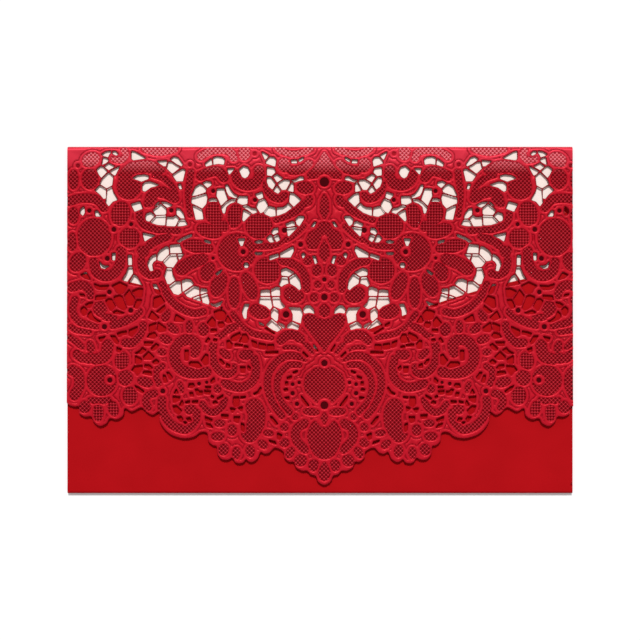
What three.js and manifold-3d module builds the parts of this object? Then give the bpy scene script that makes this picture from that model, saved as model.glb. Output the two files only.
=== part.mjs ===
import * as THREE from "three";
import { mergeVertices } from "three/addons/utils/BufferGeometryUtils.js";
import Module from "manifold-3d";

// Folded card cover with a lace flap, and the card that it holds. Millimetres, +Z towards the reader,
// +Y towards the top fold. The origin is under the middle of the back panel.

// Driving sizes
const COVER_WIDTH = 185;
const COVER_HEIGHT = 127;
const CARD_THICKNESS = 0.35;
const LACE_THICKNESS = 0.5;
const INSERT_WIDTH = 178;
const INSERT_HEIGHT = 122;
const INSERT_THICKNESS = 0.4;
const CLEARANCE = 0.3;
const TAB_WIDTH = 9;
const TAB_END_GAP = 3;
const POCKET_SIDE_HEIGHT = 80.9;
const POCKET_DIP = 28.7;
const POCKET_DIP_POWER = 1.5;
const POCKET_EDGE_STEPS = 12;
const INSERT_TOP_GAP = 1.6;
const INSERT_SHIFT = 0.5;
const FLAP_LIFT = 0.5;
const FLAP_TIP_RISE = 1.5;
const LACE_AXIS = 1.6;
const NET_RECESS = 0.2;
const EYELET_RECESS = 0.35;
const EYELET_SIDES = 6;
const NET_SIDES = 8;
const BEND_STEPS = 6;
const OVERLAP = 0.8;
const CUT_MARGIN = 1;
const MERGE_DISTANCE = 1e-5;

// Heights of the layers, from the table up
const tabTop = 2 * CARD_THICKNESS;
const insertFloor = tabTop + CLEARANCE;
const insertTop = insertFloor + INSERT_THICKNESS;
const pocketFloor = insertTop + CLEARANCE;
const pocketTop = pocketFloor + CARD_THICKNESS;
const flapFloor = insertTop + FLAP_LIFT;
const flapTop = flapFloor + CARD_THICKNESS;
const topBend = flapTop / 2;
const bottomBend = pocketTop / 2;
const foldLine = COVER_HEIGHT / 2;

// The lace is drawn on its left half, in millimetres from its axis and down from the fold, and is then
// mirrored. Each row is one outline, as pairs of across and down.
const SCALLOPED_EDGE = [
  -96, 0, -96, 93.4, -93.4, 94.5, -91.2, 95.2, -89.7, 95.2, -89.6, 97.6, -87.4, 98.9, -85.2, 98.8,
  -84.2, 100.8, -82.1, 102.3, -79.6, 101.3, -78.4, 99.5, -75.9, 99.9, -73.5, 98.4, -72.9, 95.8, -70.4, 97,
  -67.4, 95.6, -66.2, 95.8, -64.6, 97.4, -62.6, 98.2, -60.4, 97.1, -60.2, 100.4, -58.4, 103.4, -56, 105.4,
  -53, 106.5, -50.4, 106.8, -47.4, 106.1, -45.3, 104.6, -42.9, 104.8, -42.4, 107.7, -40.8, 109.3, -39.4, 109.7,
  -39, 112.6, -37.4, 114.4, -34.6, 114.8, -32.1, 116, -29.6, 115.2, -27.4, 115.2, -24.4, 114.8, -23, 112.3,
  -20.2, 112.2, -18, 110.2, -15, 111.6, -14.6, 113.8, -12.9, 115.3, -11.3, 115.4, -10.3, 117.4, -8.2, 118.6,
  -6.3, 118.6, -5, 119.9, -3.2, 120.5, -2.4, 122.4, -0.9, 123.5, 0, 123.7,
];

const OPENINGS = [
  // Corner group
  [-81.3, 2.9, -80, 2.1, -78.1, 1.8, -78.9, 2.7, -79.4, 3.8, -80.6, 3.3],
  [-80.9, 4.2, -79.8, 4.3, -79.2, 5.1, -80.1, 5.9, -81.3, 6.4, -81, 5.3],
  [-79, 6.3, -77, 7.3, -78.9, 8.4, -80.5, 7.4],
  [-83.2, 8.5, -82, 7.5, -81, 7.6, -79.7, 9.1, -81.6, 11.2, -82.3, 10.3],
  [-78.3, 9.1, -75.2, 7.5, -76.7, 10.4, -77.5, 10.1],
  [-79, 9.8, -77.5, 10.9, -77.9, 14.2, -79.7, 15.2, -82, 13.7, -81, 11.5],
  [-83.7, 16, -82.1, 14.4, -80, 15.6, -80, 19, -80.8, 18.9, -82, 17.4],
  [-79.5, 15.8, -78, 14.9, -77.7, 16.4, -75.9, 19.4, -77.6, 20, -78.9, 21.6, -79.8, 20.4],
  [-88.1, 22.2, -89, 23, -89.3, 24.2, -88.4, 25.1, -87.9, 24.2, -88, 23],
  [-83.8, 23.8, -83.2, 23.7, -81.9, 25.4, -83.5, 25.4],
  // Upper left scrolls
  [-70.4, 1.9, -69.5, 2.1, -65.7, 4.2, -69.9, 4.8, -70.4, 4.4],
  [-60.9, 5.5, -57.8, 5.3, -58.1, 7, -58.8, 7],
  [-56.1, 4.6, -55, 3.9, -53.7, 4.3, -52.1, 6.5, -52.3, 7, -54, 6.3],
  [-57, 5.8, -56, 5.9, -53.1, 7.6, -55.6, 9.7, -57.6, 7.8],
  [-55.4, 10.4, -51.9, 8.4, -51.1, 8.7, -52, 12.5, -54, 12.5],
  [-69.9, 11.6, -68.5, 10.8, -66, 10.5, -64.5, 10.9, -64.6, 11.7, -67, 12.6, -68.3, 12.1],
  [-66.4, 14, -65.5, 13.2, -63.7, 13.1, -60.9, 14.1, -63.6, 14.8, -65.7, 16.3, -66.4, 16],
  [-70.5, 21.2, -67.6, 20.4, -66.7, 22.6, -69.3, 23.6],
  // Eye with its eyelet
  [-59.8, 20.4, -57.7, 20.6, -55.9, 21.5, -57.6, 22.2],
  [-60, 21.1, -58.1, 22.6, -58.2, 24.9, -61.6, 25, -62.5, 23.4],
  [-53.9, 22.8, -53, 23, -51.8, 24.6, -51.3, 26.2, -52.5, 26.1, -53.9, 24.9],
  [-65, 24.7, -63.6, 24.3, -62.2, 25.4, -64, 27.3, -65, 27, -65.3, 25.8],
  [-61.6, 25.5, -58.1, 25.3, -58.3, 28.7, -61, 28.5, -63.5, 27.7],
  [-57.6, 26, -55.3, 26.1, -54.4, 25.4, -53.3, 26.5, -54.5, 29, -57.9, 28.9],
  [-53.1, 27, -51.2, 27, -50.3, 28.5, -52, 28.9, -53.9, 29],
  [-66.3, 31.8, -62.2, 32.7, -64, 33.4, -65.6, 34.5],
  [-53.7, 34.8, -51.5, 33.4, -48.5, 32.2, -48.7, 32.8, -52, 34.2, -53, 35],
  // Inside the hooked scroll
  [-61.5, 39.6, -61.6, 41.5, -62.6, 42, -63.3, 43.3, -62.8, 45.3, -63.6, 45.4, -64.5, 43, -63.7, 41, -62.5, 39.9],
  [-61.1, 39.8, -60, 38.2, -57.9, 36.8, -57.1, 37, -56.9, 39.3, -59.2, 41.9, -61, 41.4],
  [-56.3, 36.3, -53.1, 36, -52.2, 38.9, -56.4, 39],
  [-53.8, 39.6, -51.6, 39.5, -53, 41.2],
  [-56.4, 39.6, -54.4, 39.5, -53.8, 41.6, -55.5, 44.2, -57.3, 44, -58.9, 42.1],
  [-57.5, 44.7, -56, 44.6, -55.9, 46.5, -54.7, 48.8, -56.5, 50.2, -57.3, 50.1, -58.3, 47.3],
  [-71.7, 40, -70.7, 40, -70.6, 43.2, -71.6, 43.2],
  [-71.5, 44.3, -70.5, 44.3, -70.2, 46.3, -72.3, 49.4, -73.7, 48.7, -72.3, 46.5],
  [-69.6, 47.1, -68.6, 47.8, -66.7, 51, -71.3, 50.1],
  [-88.9, 47, -87.2, 46.2, -85.8, 48.6, -87.6, 48],
  [-77.5, 39.3, -76.6, 39.2, -76.8, 41.5, -77.4, 41.4],
  [-82.2, 42.4, -81.5, 43.4, -80.2, 43.9, -79, 43.8, -80.2, 44.6, -81.5, 44.3],
  // Large flower
  [-31.4, 34, -29.3, 33.9, -30.1, 36.2, -30.5, 36.2],
  [-29.4, 43.5, -29, 42.8, -28.2, 42.8, -27.8, 43.5, -28.2, 44.2, -29, 44.2],
  // Above the large flower
  [-43.5, 6.3, -41.4, 4.7, -41.2, 6.5, -43.2, 7.1],
  [-40.6, 4.3, -39.5, 3.9, -37.6, 4.1, -36.7, 4.8, -37, 6.4, -38.8, 6.1, -40.5, 6.4],
  [-35.3, 8.3, -33.2, 8.2, -34.8, 10],
  [-31, 8.6, -29.6, 7.4, -28.2, 7.8, -27.5, 9.4, -28.2, 10.8, -29.1, 11.4, -30, 10.9],
  [-44.4, 13.5, -43.2, 12.9, -41.6, 13.2, -41.6, 14, -42.8, 14.9],
  [-48.4, 17.9, -47, 14.9, -45.6, 14, -44.6, 14.3, -43.4, 15.6, -43.7, 16.6, -47, 17.8],
  [-48.4, 18.9, -43.4, 17.5, -43, 19, -43.5, 21, -44.8, 22.5, -46, 21.8, -48.4, 20.6],
  [-48, 21.8, -46.5, 22.4, -45, 23.2, -44.5, 26.4, -46.9, 26.6],
  [-42.3, 19.6, -41.2, 19.2, -39.7, 19.3, -39.2, 20, -40.5, 19.9, -42, 20],
  [-39.1, 15.7, -36.9, 15.6, -36.2, 17.6, -35.6, 19.4, -37.7, 21.4, -39.3, 18],
  [-36.1, 14.2, -35.5, 14.2, -34.6, 15.9, -33.3, 17.5, -31.9, 18.2, -32.2, 18.9, -34.8, 17.9, -35.6, 16.5],
  [-37.5, 22.3, -36, 20.6, -34, 19.5, -32.2, 19.5, -32.9, 20.1, -34.6, 20.7, -36.1, 22, -36.6, 24.3, -37, 24.2],
  [-31.8, 19, -31.2, 18.4, -28.3, 18.5, -28.4, 20.9, -29.9, 21.2, -31.8, 20.3],
  [-25.1, 17.6, -22.9, 16.8, -22.5, 18.6, -23.9, 19.2],
  [-23.9, 20, -22.1, 19.2, -21, 21, -20.8, 21.8, -22.3, 23.9, -23.3, 24.2, -24.7, 22],
  [-29.8, 22, -28.5, 21.7, -26.8, 22.7, -25.2, 22.9, -24.7, 23.9, -26.3, 24.5, -28, 23],
  [-29.5, 23.4, -27, 24.6, -29.5, 27.2, -29.9, 26.6],
  // Under the top fold, beside the axis
  [-22.7, 2.2, -20.6, 3.4, -21.6, 4.7],
  [-20, 4, -18.6, 4.1, -17.9, 4.9, -18.2, 7.1, -21.2, 6, -21.2, 5.3],
  [-20.8, 7.8, -18.6, 8.1, -18.1, 9.3, -19.4, 10.6, -20.8, 10.3],
  [-18.5, 10.9, -17.4, 10.4, -15.4, 11.7, -17.2, 12.9],
  [-20.8, 11.5, -19.7, 11.5, -18.1, 13.6, -19, 15.5, -20.2, 14.5, -20.8, 13],
  [-17.4, 14.6, -16.1, 16, -17, 17, -18.6, 16.1],
  [-16.8, 13.5, -14.8, 12.3, -13, 12.4, -12.7, 12.9, -14.1, 15.6, -15.6, 15.7],
  [-11.9, 13.3, -11.5, 13.7, -11.5, 16.5, -13.4, 15.9],
  [-12, 12.5, -10.5, 12.3, -8.9, 11.2, -7.9, 11.3, -7.7, 12, -9.4, 12.4, -11, 12.9],
  [-12.4, 17.2, -11.3, 17.4, -8.8, 19.5, -11.2, 21.8, -12.7, 20.3],
  [-17.2, 22.6, -15.2, 22.5, -13.8, 21.7, -13.2, 20.9, -11.9, 22.2, -14.3, 24, -17.3, 25.2],
  [-20.5, 22, -18.2, 22.6, -17.9, 25.2, -19.7, 25.5, -22.2, 24.3],
  // Beside the spade
  [-19.2, 31.3, -18.4, 30.1, -17.1, 30, -17.1, 31.3, -18.6, 32.2],
  [-20.9, 33.6, -19.9, 32.6, -19.4, 32.7, -18.5, 34.8, -19.8, 34.9],
  [-18.5, 33, -17, 32.5, -16.3, 33.9, -17.4, 34.7],
  [-14, 28.5, -11.8, 27.5, -10.9, 28, -11, 28.9, -13.5, 29.4],
  [-13.6, 30, -10.2, 29.7, -13.1, 32.7],
  [-10.4, 26.8, -9.3, 25.7, -7.8, 25.7, -7.5, 26.1, -9.2, 28.9, -10, 28.3],
  [-20, 40.4, -17, 39.4, -16.8, 40.3, -19.8, 41.4],
  [-16, 39.2, -11.6, 36.8, -11.3, 38, -12.5, 40.4, -15.9, 40.4],
  [-15.6, 45.2, -14, 44.7, -11.3, 46.2, -13.2, 47.4, -15.5, 47],
  [-15.4, 48, -13.7, 48, -13.2, 49.9, -14.9, 50.5, -15.7, 51.1, -16.4, 50.5],
  [-12.6, 48, -10.7, 46.8, -9.2, 48.9, -8.7, 51.8, -9.2, 52.3, -10.4, 51.2, -12.3, 50],
  // Beside the heart
  [-7.6, 59.5, -6.6, 58.4, -5.5, 58.3, -4.2, 59.4, -3.7, 61, -5.4, 60.6, -7.3, 60.9],
  [-13, 59, -9, 59.2, -8.4, 60.1, -8.1, 61, -8.6, 63, -8.8, 64.5, -11.5, 63.5, -11.3, 61.5, -11.9, 60],
  [-11.9, 64.3, -9.3, 65.7, -9.8, 66.9, -11.7, 66.4, -13.7, 66.3, -13.3, 65.4],
  [-16.9, 64.5, -15, 65.3, -14.3, 66.2, -15.2, 66.4],
  [-19.2, 63.4, -16.9, 65.2, -15.7, 66.6, -17.7, 67.8, -21.1, 65.4],
  [-21.8, 66.1, -18.1, 68.3, -18.5, 68.6, -21.5, 66.7],
  [-19.3, 60.4, -18.4, 59.2, -17, 60.3, -17.2, 63.3, -17.7, 63.9, -19.2, 62.5],
  [-18.9, 55.3, -16.6, 55.2, -16, 57, -14.5, 58.6, -16, 59.3, -18.6, 58.2],
  [-19.4, 52.5, -17.5, 51.6, -16.5, 51.8, -16.4, 54.6, -19.2, 54.6],
  [-23.1, 52.8, -21, 52.6, -20, 52.8, -19.9, 54.6, -23.2, 54.6],
  [-23.3, 55.2, -19.8, 55.2, -19.1, 58.3, -19.9, 59.5, -21.2, 58.3, -23.8, 57.2],
  // Under the large flower
  [-45.1, 52.2, -43.2, 52.3, -43, 53.2, -45.2, 54.1],
  [-45, 54.6, -43, 54, -42.3, 56, -42.4, 57.6, -44.3, 57],
  [-47.9, 55.6, -46, 54.8, -45.2, 56.4, -46.4, 56.1],
  [-51, 53.6, -47.6, 51.3, -46, 51.7, -45.9, 54, -48.8, 55.2, -50, 54.8],
  [-52, 49.3, -50.6, 48.7, -49, 48.9, -48, 50.3, -51.8, 53],
  [-56.5, 51.3, -54.3, 49.6, -52.7, 49.7, -52.4, 53.4, -53.5, 54.1, -55, 53.7],
  [-41.5, 57.6, -40, 57.9, -37.4, 56.8, -38.3, 58.1, -39.5, 58.6, -41, 58.2],
  [-40.3, 60.5, -38.5, 59.8, -37, 60, -36, 61.2, -36.4, 63, -38, 63.5, -39.5, 63],
  [-30, 60.5, -29, 57.8, -27.6, 57.9, -28.5, 60, -28.7, 62.8, -29.2, 62.9],
  [-42.8, 64.5, -41, 62.4, -40, 63.6, -40, 65.8, -41.4, 65.8],
  [-35.4, 61.9, -34, 64.2, -35.2, 64.5, -36.2, 63.9],
  [-38.6, 64.2, -37, 64.2, -36.7, 65.6, -37.9, 66.3, -38.7, 65.3],
  [-41.4, 66.9, -39.5, 66.9, -39.5, 67.8, -41.3, 67.9],
  [-34, 69.7, -30.6, 68.3, -30.6, 68.9, -33.8, 70.2],
  [-29.2, 68.4, -29.1, 69.2, -31.5, 71.6, -31.9, 71.4],
  [-35.6, 71.2, -34.8, 70.9, -33.7, 72.2, -34.2, 73.8, -35.4, 73.8],
  [-32.6, 72.3, -30, 72.3, -30, 73, -32.6, 73],
  // Left middle lattice
  [-76.8, 55, -75, 54.4, -73.9, 55, -73.7, 56, -72.4, 59, -73.4, 59.8, -75.2, 58.8, -76.7, 56.3],
  [-71.4, 52.5, -69.3, 55.8, -70.2, 57.9, -71.9, 58, -73, 54.5],
  [-70.3, 53, -68, 52, -66.5, 52.1, -66.8, 55, -68.6, 54.9],
  [-77.6, 51, -74.8, 49.7, -72.2, 51, -73.8, 53.7, -75.7, 53.5, -76.3, 52.2],
  [-68.5, 56.1, -66.9, 56.1, -67.2, 57.2, -68.5, 59.2, -69.6, 58.7, -69.1, 57.2],
  [-62.5, 50.6, -61.6, 50.6, -60.2, 53.3, -60.5, 53.9, -61.5, 53.4],
  [-62.2, 55.4, -60, 54.6, -58.5, 56.8, -61.8, 59, -62.5, 58.6],
  [-61.3, 60.5, -58.5, 58.2, -58.3, 59.3, -59.9, 60.9],
  [-63.1, 60.3, -60.5, 62.7, -62, 63.5, -64.2, 62.6],
  [-64, 65.4, -61.6, 64.5, -61.9, 67, -63.9, 67.6],
  [-60.7, 64.4, -58, 66.3, -58.2, 67.4, -60.2, 67.8, -61.2, 66.8],
  [-64.7, 69.7, -63.8, 68.4, -62.2, 67.9, -61.2, 69.3, -62.4, 70.1],
  [-65.8, 71.5, -62.6, 71.6, -63.8, 72.8, -65.5, 72.8],
  [-63.3, 73.8, -61.5, 72.1, -60.5, 72.7, -61.5, 73.9, -63, 74.6],
  [-54.2, 61.5, -51.2, 63.3, -51.9, 64, -54.8, 63.8],
  [-79.9, 56.5, -79, 55.7, -77.8, 55.9, -76.5, 58.4, -78, 60, -79.2, 58],
  [-77.2, 60.6, -76, 60, -73.3, 60.9, -74.3, 61.2, -77, 61],
  [-84, 50.4, -82, 51.1, -78.9, 50.9, -80.2, 52.3, -82.5, 52.2, -83.5, 51.6],
  [-83.4, 54.7, -80, 54.5, -80.2, 55.6, -83.6, 56.1],
  [-87.4, 58, -86, 57.2, -84.7, 57, -85.5, 58.6, -86.2, 59],
  [-88.9, 59.3, -88, 58.6, -86.8, 59.5, -87.2, 61.3, -88, 61.8, -88.9, 60.6],
  [-86.3, 61.2, -85.4, 60.3, -84.6, 62.3, -83, 63.5, -81.8, 64, -83, 64.2, -85.3, 63.2, -86.4, 62.3],
  [-82.5, 70, -80.1, 69.5, -81.7, 71.3],
  [-78.1, 69.3, -76.6, 69.3, -75.3, 71.5, -75.7, 72.2, -76.6, 71.4],
  [-75.7, 68.4, -74.5, 67.9, -72.3, 67.5, -72.5, 68.6, -74, 68.8, -75, 69.6],
  [-71.4, 67.2, -68.4, 65.9, -68.7, 67.4, -70.4, 69.4, -71.2, 69],
  [-69.2, 75.7, -67.3, 74.6, -66.5, 73.6, -65.2, 74.5, -67, 75.7],
  [-69, 76.6, -66.8, 77.7, -67, 79, -69, 79.3],
  [-66.1, 76.8, -64.3, 75, -62.3, 77, -63.3, 77.8, -66, 77.7],
  [-62.8, 78.8, -61.5, 77.9, -60.5, 78.7, -61, 79.4, -62.2, 79.5],
  [-70.4, 81.8, -69.3, 80.3, -66.5, 80.1, -66.8, 81.6, -68.3, 83.6, -69.2, 82.4],
  [-65.7, 79.8, -64, 79.9, -62.9, 81, -63.5, 81.4, -65.6, 80.7],
  [-66, 82.2, -63.4, 82.3, -63.1, 83.7, -66.2, 83],
  [-57.6, 82.6, -56.9, 82.6, -55.6, 84.4, -56.3, 85.2],
  [-58.8, 83.6, -58.2, 83.8, -57.5, 86, -58.3, 86.3, -58.8, 85],
  [-69.2, 87.5, -68, 88, -66, 89.5, -66.3, 90.1, -68.2, 89],
  // Lower left cells
  [-55.3, 91.3, -52.8, 91.6, -53.1, 92.7, -55, 93.6],
  [-49.4, 86.8, -47.9, 86.7, -47.5, 87.6, -48.5, 88.2, -49.6, 88],
  [-47.2, 88.9, -46.4, 88.7, -45.8, 89.5, -44.6, 89.5, -44.8, 90.8, -46.3, 90.8],
  [-43.8, 89.2, -41.6, 89.4, -42, 90.6, -43.5, 90.4],
  [-33.1, 91.6, -31.3, 91.6, -31.2, 94.6, -32.5, 95.3, -33.3, 94],
  [-25.9, 90.4, -24.3, 89.6, -23.3, 88, -23.1, 88.6, -24, 90.2, -25.5, 90.8],
  // Inside the lower scrolls
  [-30.6, 80.6, -29, 80.6, -29.2, 82.6, -30.3, 82.6],
  [-45, 78.2, -43.4, 76, -42.6, 76.3, -42.6, 79.4, -43.6, 79.9],
  [-50.9, 74.6, -49.8, 74.6, -49.9, 78.2, -50.9, 78],
  [-49.4, 79.2, -48.8, 78.8, -46.2, 78.8, -44.9, 80.4, -46, 80.9, -49.2, 80],
  // Beside the centre loop
  [-21.4, 75.1, -17, 75, -17, 75.7, -21.3, 75.8],
  [-8.4, 91.3, -7.8, 92, -5.7, 94.8, -6.4, 94.9, -7.9, 93],
  // Bottom scallops
  [-17.1, 104.8, -15.5, 105.5, -15.9, 106.1, -16.3, 107, -17, 106.8],
  [-19.7, 98.7, -19, 99, -17.1, 101.4, -17.6, 101.8, -19.3, 99.8],
];

// Blind eyelets, pressed but not cut, as across, down and radius. Those on the axis are pressed once.
const EYELETS = [
  [-86, 23.5, 0.75], [-77, 30.4, 0.85], [-56, 23.4, 0.75], [-79.4, 41, 0.85], [-29.7, 38.6, 0.85], [-14.6, 30.7, 0.9],
  [-8.7, 35.9, 0.85], [-78.6, 53.3, 0.8], [-80.4, 66, 0.9], [-70.8, 60, 0.85], [-78.4, 85.5, 0.9], [-59, 89.5, 0.85],
  [-14, 61.5, 1.15], [-11.6, 90.3, 0.75], [-10, 94.2, 0.75],
];
const AXIS_EYELETS = [[0, 13, 1.7], [0, 48.7, 0.75], [0, 55.2, 1.15], [0, 79.3, 1.1], [0, 94.7, 1.4]];

// Net grounds that are ovals, as across, down, half width, half height and turn in degrees
const OVAL_NETS = [
  [-74.6, 24.7, 3, 4.1, 12],
  [-84.2, 33.3, 5.8, 6.4, 0],
  [-71.3, 33.6, 3.3, 3.3, 0],
  [-23.2, 29.2, 4.9, 3.9, 0],
  [-32, 38.7, 6.5, 6.4, 0],
  [-46, 36.8, 6, 1.9, 12],
  [-38.6, 50.5, 2.3, 4.3, 20],
  [-27.4, 51.2, 2, 4.8, -22],
  [-20.8, 45.4, 4.4, 4.3, 0],
  [-81.3, 85.7, 5.1, 5.2, 0],
];

// Net grounds on the axis, given by their left half from the top down
const AXIS_NETS = [
  [0, 5.6, -2.6, 5.6, -4.2, 8, -5.6, 10.6, -4.8, 12, -2.8, 10.8, 0, 9.8],
  [0, 28, -1.4, 28.4, -2.6, 30.4, -5.4, 32, -6.5, 34.4, -5.6, 37, -3.2, 37.2, -1.8, 35.2, -1.4, 32.8, 0, 31.8],
  [0, 63.8, -2.6, 63.4, -4.2, 61.9, -6.2, 61.7, -7.4, 63.2, -6.6, 65.8, -4.6, 68.6, -2, 71.6, 0, 74.8],
  [0, 81, -3.2, 81.4, -6.2, 83.6, -7.4, 87.2, -6.4, 90, -4.4, 92, -2.8, 93.6, -1.6, 92.2, 0, 91.8],
  [0, 103.4, -1.6, 102.8, -3.4, 100.8, -5.2, 102.6, -5.9, 106, -5.2, 110, -3.4, 112.6, -1.6, 113.8, 0, 114],
];

const wasm = await Module();
wasm.setup();

function asSolid(geometry) {
  const bare = geometry.index ? geometry.toNonIndexed() : geometry;
  bare.deleteAttribute("normal");
  bare.deleteAttribute("uv");
  const merged = mergeVertices(bare, MERGE_DISTANCE);
  const mesh = new wasm.Mesh({
    numProp: 3,
    vertProperties: new Float32Array(merged.attributes.position.array),
    triVerts: new Uint32Array(merged.index.array),
  });
  return new wasm.Manifold(mesh);
}

function asGeometry(solid) {
  const mesh = solid.getMesh();
  const geometry = new THREE.BufferGeometry();
  geometry.setAttribute("position", new THREE.BufferAttribute(new Float32Array(mesh.vertProperties), 3));
  geometry.setIndex(new THREE.BufferAttribute(new Uint32Array(mesh.triVerts), 1));
  geometry.computeVertexNormals();
  return geometry;
}

// A plate between two heights, from an outline of points in the plane of the sheet
function plate(points, floor, top) {
  const shape = new THREE.Shape(points);
  const geometry = new THREE.ExtrudeGeometry(shape, { depth: top - floor, bevelEnabled: false });
  geometry.translate(0, 0, floor);
  return asSolid(geometry);
}

function joinAll(solids) {
  return wasm.Manifold.union(solids);
}

// Points of an outline row, with side -1 for the left half as drawn and 1 for its mirror image
function rowPoints(row, side) {
  const points = [];
  for (let i = 0; i < row.length; i += 2) {
    points.push(new THREE.Vector2(LACE_AXIS - side * row[i], foldLine - row[i + 1]));
  }
  return side > 0 ? points.reverse() : points;
}

function axisPoints(row) {
  const right = rowPoints(row, 1);
  const left = rowPoints(row, -1);
  return left.concat(right.slice(1, -1));
}

function ovalPoints(row, side, steps) {
  const [across, down, halfWide, halfHigh, turn] = row;
  const angle = THREE.MathUtils.degToRad(turn);
  const points = [];
  for (let i = 0; i < steps; i += 1) {
    const t = (2 * Math.PI * i) / steps;
    const a = halfWide * Math.cos(t);
    const b = halfHigh * Math.sin(t);
    points.push(across + a * Math.cos(angle) - b * Math.sin(angle));
    points.push(down + a * Math.sin(angle) + b * Math.cos(angle));
  }
  return rowPoints(points, side);
}

function bothSides(rows, outline) {
  return rows.flatMap((row) => [outline(row, -1), outline(row, 1)]);
}

// The lace flap lies flat here, with its upper face at the top of its thickness
function laceFlap() {
  const half = rowPoints(SCALLOPED_EDGE, -1);
  const mirrored = rowPoints(SCALLOPED_EDGE, 1);
  const scalloped = plate(half.concat(mirrored.slice(1)), 0, LACE_THICKNESS);
  const halfWidth = COVER_WIDTH / 2;
  const foldEnd = foldLine - topBend;
  const trimmed = plate(
    [[-halfWidth, -foldLine], [halfWidth, -foldLine], [halfWidth, foldEnd], [-halfWidth, foldEnd]]
      .map(([x, y]) => new THREE.Vector2(x, y)),
    -CUT_MARGIN,
    LACE_THICKNESS + CUT_MARGIN,
  );
  const sheet = scalloped.intersect(trimmed);
  const through = bothSides(OPENINGS, rowPoints);
  const nets = bothSides(OVAL_NETS, (row, side) => ovalPoints(row, side, NET_SIDES))
    .concat(AXIS_NETS.map(axisPoints));
  const roundPoints = ([across, down, radius], side) => ovalPoints([across, down, radius, radius, 0], side, EYELET_SIDES);
  const eyelets = bothSides(EYELETS, roundPoints).concat(AXIS_EYELETS.map((row) => roundPoints(row, -1)));
  const cutTo = (outlines, floor) => joinAll(outlines.map((points) => plate(points, floor, LACE_THICKNESS + CUT_MARGIN)));
  return sheet
    .subtract(cutTo(nets, LACE_THICKNESS - NET_RECESS))
    .subtract(cutTo(eyelets, LACE_THICKNESS - EYELET_RECESS))
    .subtract(cutTo(through, -CUT_MARGIN));
}

// Section of the back panel with the bend at each end, drawn across the folds
function foldedSection() {
  const shape = new THREE.Shape();
  const low = bottomBend - foldLine;
  const high = foldLine - topBend;
  shape.moveTo(low, 0);
  shape.lineTo(high, 0);
  shape.absarc(high, topBend, topBend, -Math.PI / 2, Math.PI / 2, false);
  shape.lineTo(high - OVERLAP, flapTop);
  shape.lineTo(high - OVERLAP, flapFloor);
  shape.absarc(high, topBend, topBend - CARD_THICKNESS, Math.PI / 2, -Math.PI / 2, true);
  shape.absarc(low, bottomBend, bottomBend - CARD_THICKNESS, -Math.PI / 2, Math.PI / 2, true);
  shape.lineTo(low + OVERLAP, pocketFloor);
  shape.lineTo(low + OVERLAP, pocketTop);
  shape.absarc(low, bottomBend, bottomBend, Math.PI / 2, (3 * Math.PI) / 2, false);
  const geometry = new THREE.ExtrudeGeometry(shape, {
    depth: COVER_WIDTH,
    bevelEnabled: false,
    curveSegments: BEND_STEPS,
  });
  geometry.rotateX(Math.PI / 2);
  geometry.rotateZ(Math.PI / 2);
  geometry.translate(-COVER_WIDTH / 2, 0, 0);
  return asSolid(geometry);
}

// The pocket panel, whose top edge dips towards the middle
function pocketPanel() {
  const low = bottomBend - foldLine;
  const halfWidth = COVER_WIDTH / 2;
  const sideTop = POCKET_SIDE_HEIGHT - foldLine;
  const points = [new THREE.Vector2(-halfWidth, low), new THREE.Vector2(halfWidth, low)];
  for (let i = 0; i <= 2 * POCKET_EDGE_STEPS; i += 1) {
    const x = halfWidth - (i * halfWidth) / POCKET_EDGE_STEPS;
    const share = 1 - Math.abs(x) / halfWidth;
    points.push(new THREE.Vector2(x, sideTop - POCKET_DIP * share ** POCKET_DIP_POWER));
  }
  return plate(points, pocketFloor, pocketTop);
}

// A side of the pocket: the fold at the edge, and its tab glued to the back panel
function sideTab(side) {
  const low = TAB_END_GAP - foldLine;
  const high = POCKET_SIDE_HEIGHT - TAB_END_GAP - foldLine;
  const edge = (side * COVER_WIDTH) / 2;
  const box = (width, floor, top) => {
    const inner = edge - side * width;
    const points = [[edge, low], [inner, low], [inner, high], [edge, high]].map(([x, y]) => new THREE.Vector2(x, y));
    return plate(side > 0 ? points.reverse() : points, floor, top);
  };
  const tab = box(TAB_WIDTH, 0, tabTop);
  const fold = box(CARD_THICKNESS, 0, pocketTop);
  return tab.add(fold);
}

const flapReach = COVER_HEIGHT - topBend;
const flapTilt = THREE.MathUtils.radToDeg(Math.asin(FLAP_TIP_RISE / flapReach));
const flap = laceFlap()
  .translate([0, -(foldLine - topBend), 0])
  .rotate([-flapTilt, 0, 0])
  .translate([0, foldLine - topBend, flapFloor]);
const cover = joinAll([foldedSection(), pocketPanel(), sideTab(-1), sideTab(1), flap]);

const coverMesh = new THREE.Mesh(
  asGeometry(cover),
  new THREE.MeshStandardMaterial({ color: 0xb0141c, roughness: 0.5, metalness: 0.1 }),
);
coverMesh.name = "lace_cover";

const insertMesh = new THREE.Mesh(
  new THREE.BoxGeometry(INSERT_WIDTH, INSERT_HEIGHT, INSERT_THICKNESS),
  new THREE.MeshStandardMaterial({ color: 0xf8eee6, roughness: 0.8, metalness: 0 }),
);
insertMesh.name = "insert_card";
insertMesh.position.set(
  INSERT_SHIFT,
  foldLine - INSERT_TOP_GAP - INSERT_HEIGHT / 2,
  insertFloor + INSERT_THICKNESS / 2,
);

const invitation = new THREE.Group();
invitation.add(coverMesh, insertMesh);

export default invitation;
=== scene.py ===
"""Dresses a folded card invitation with a laser-cut lace flap and the card in its pocket."""

from __future__ import annotations

import logging
import math
from collections.abc import Iterable, Iterator
from dataclasses import dataclass
from enum import Enum
from itertools import chain

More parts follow.
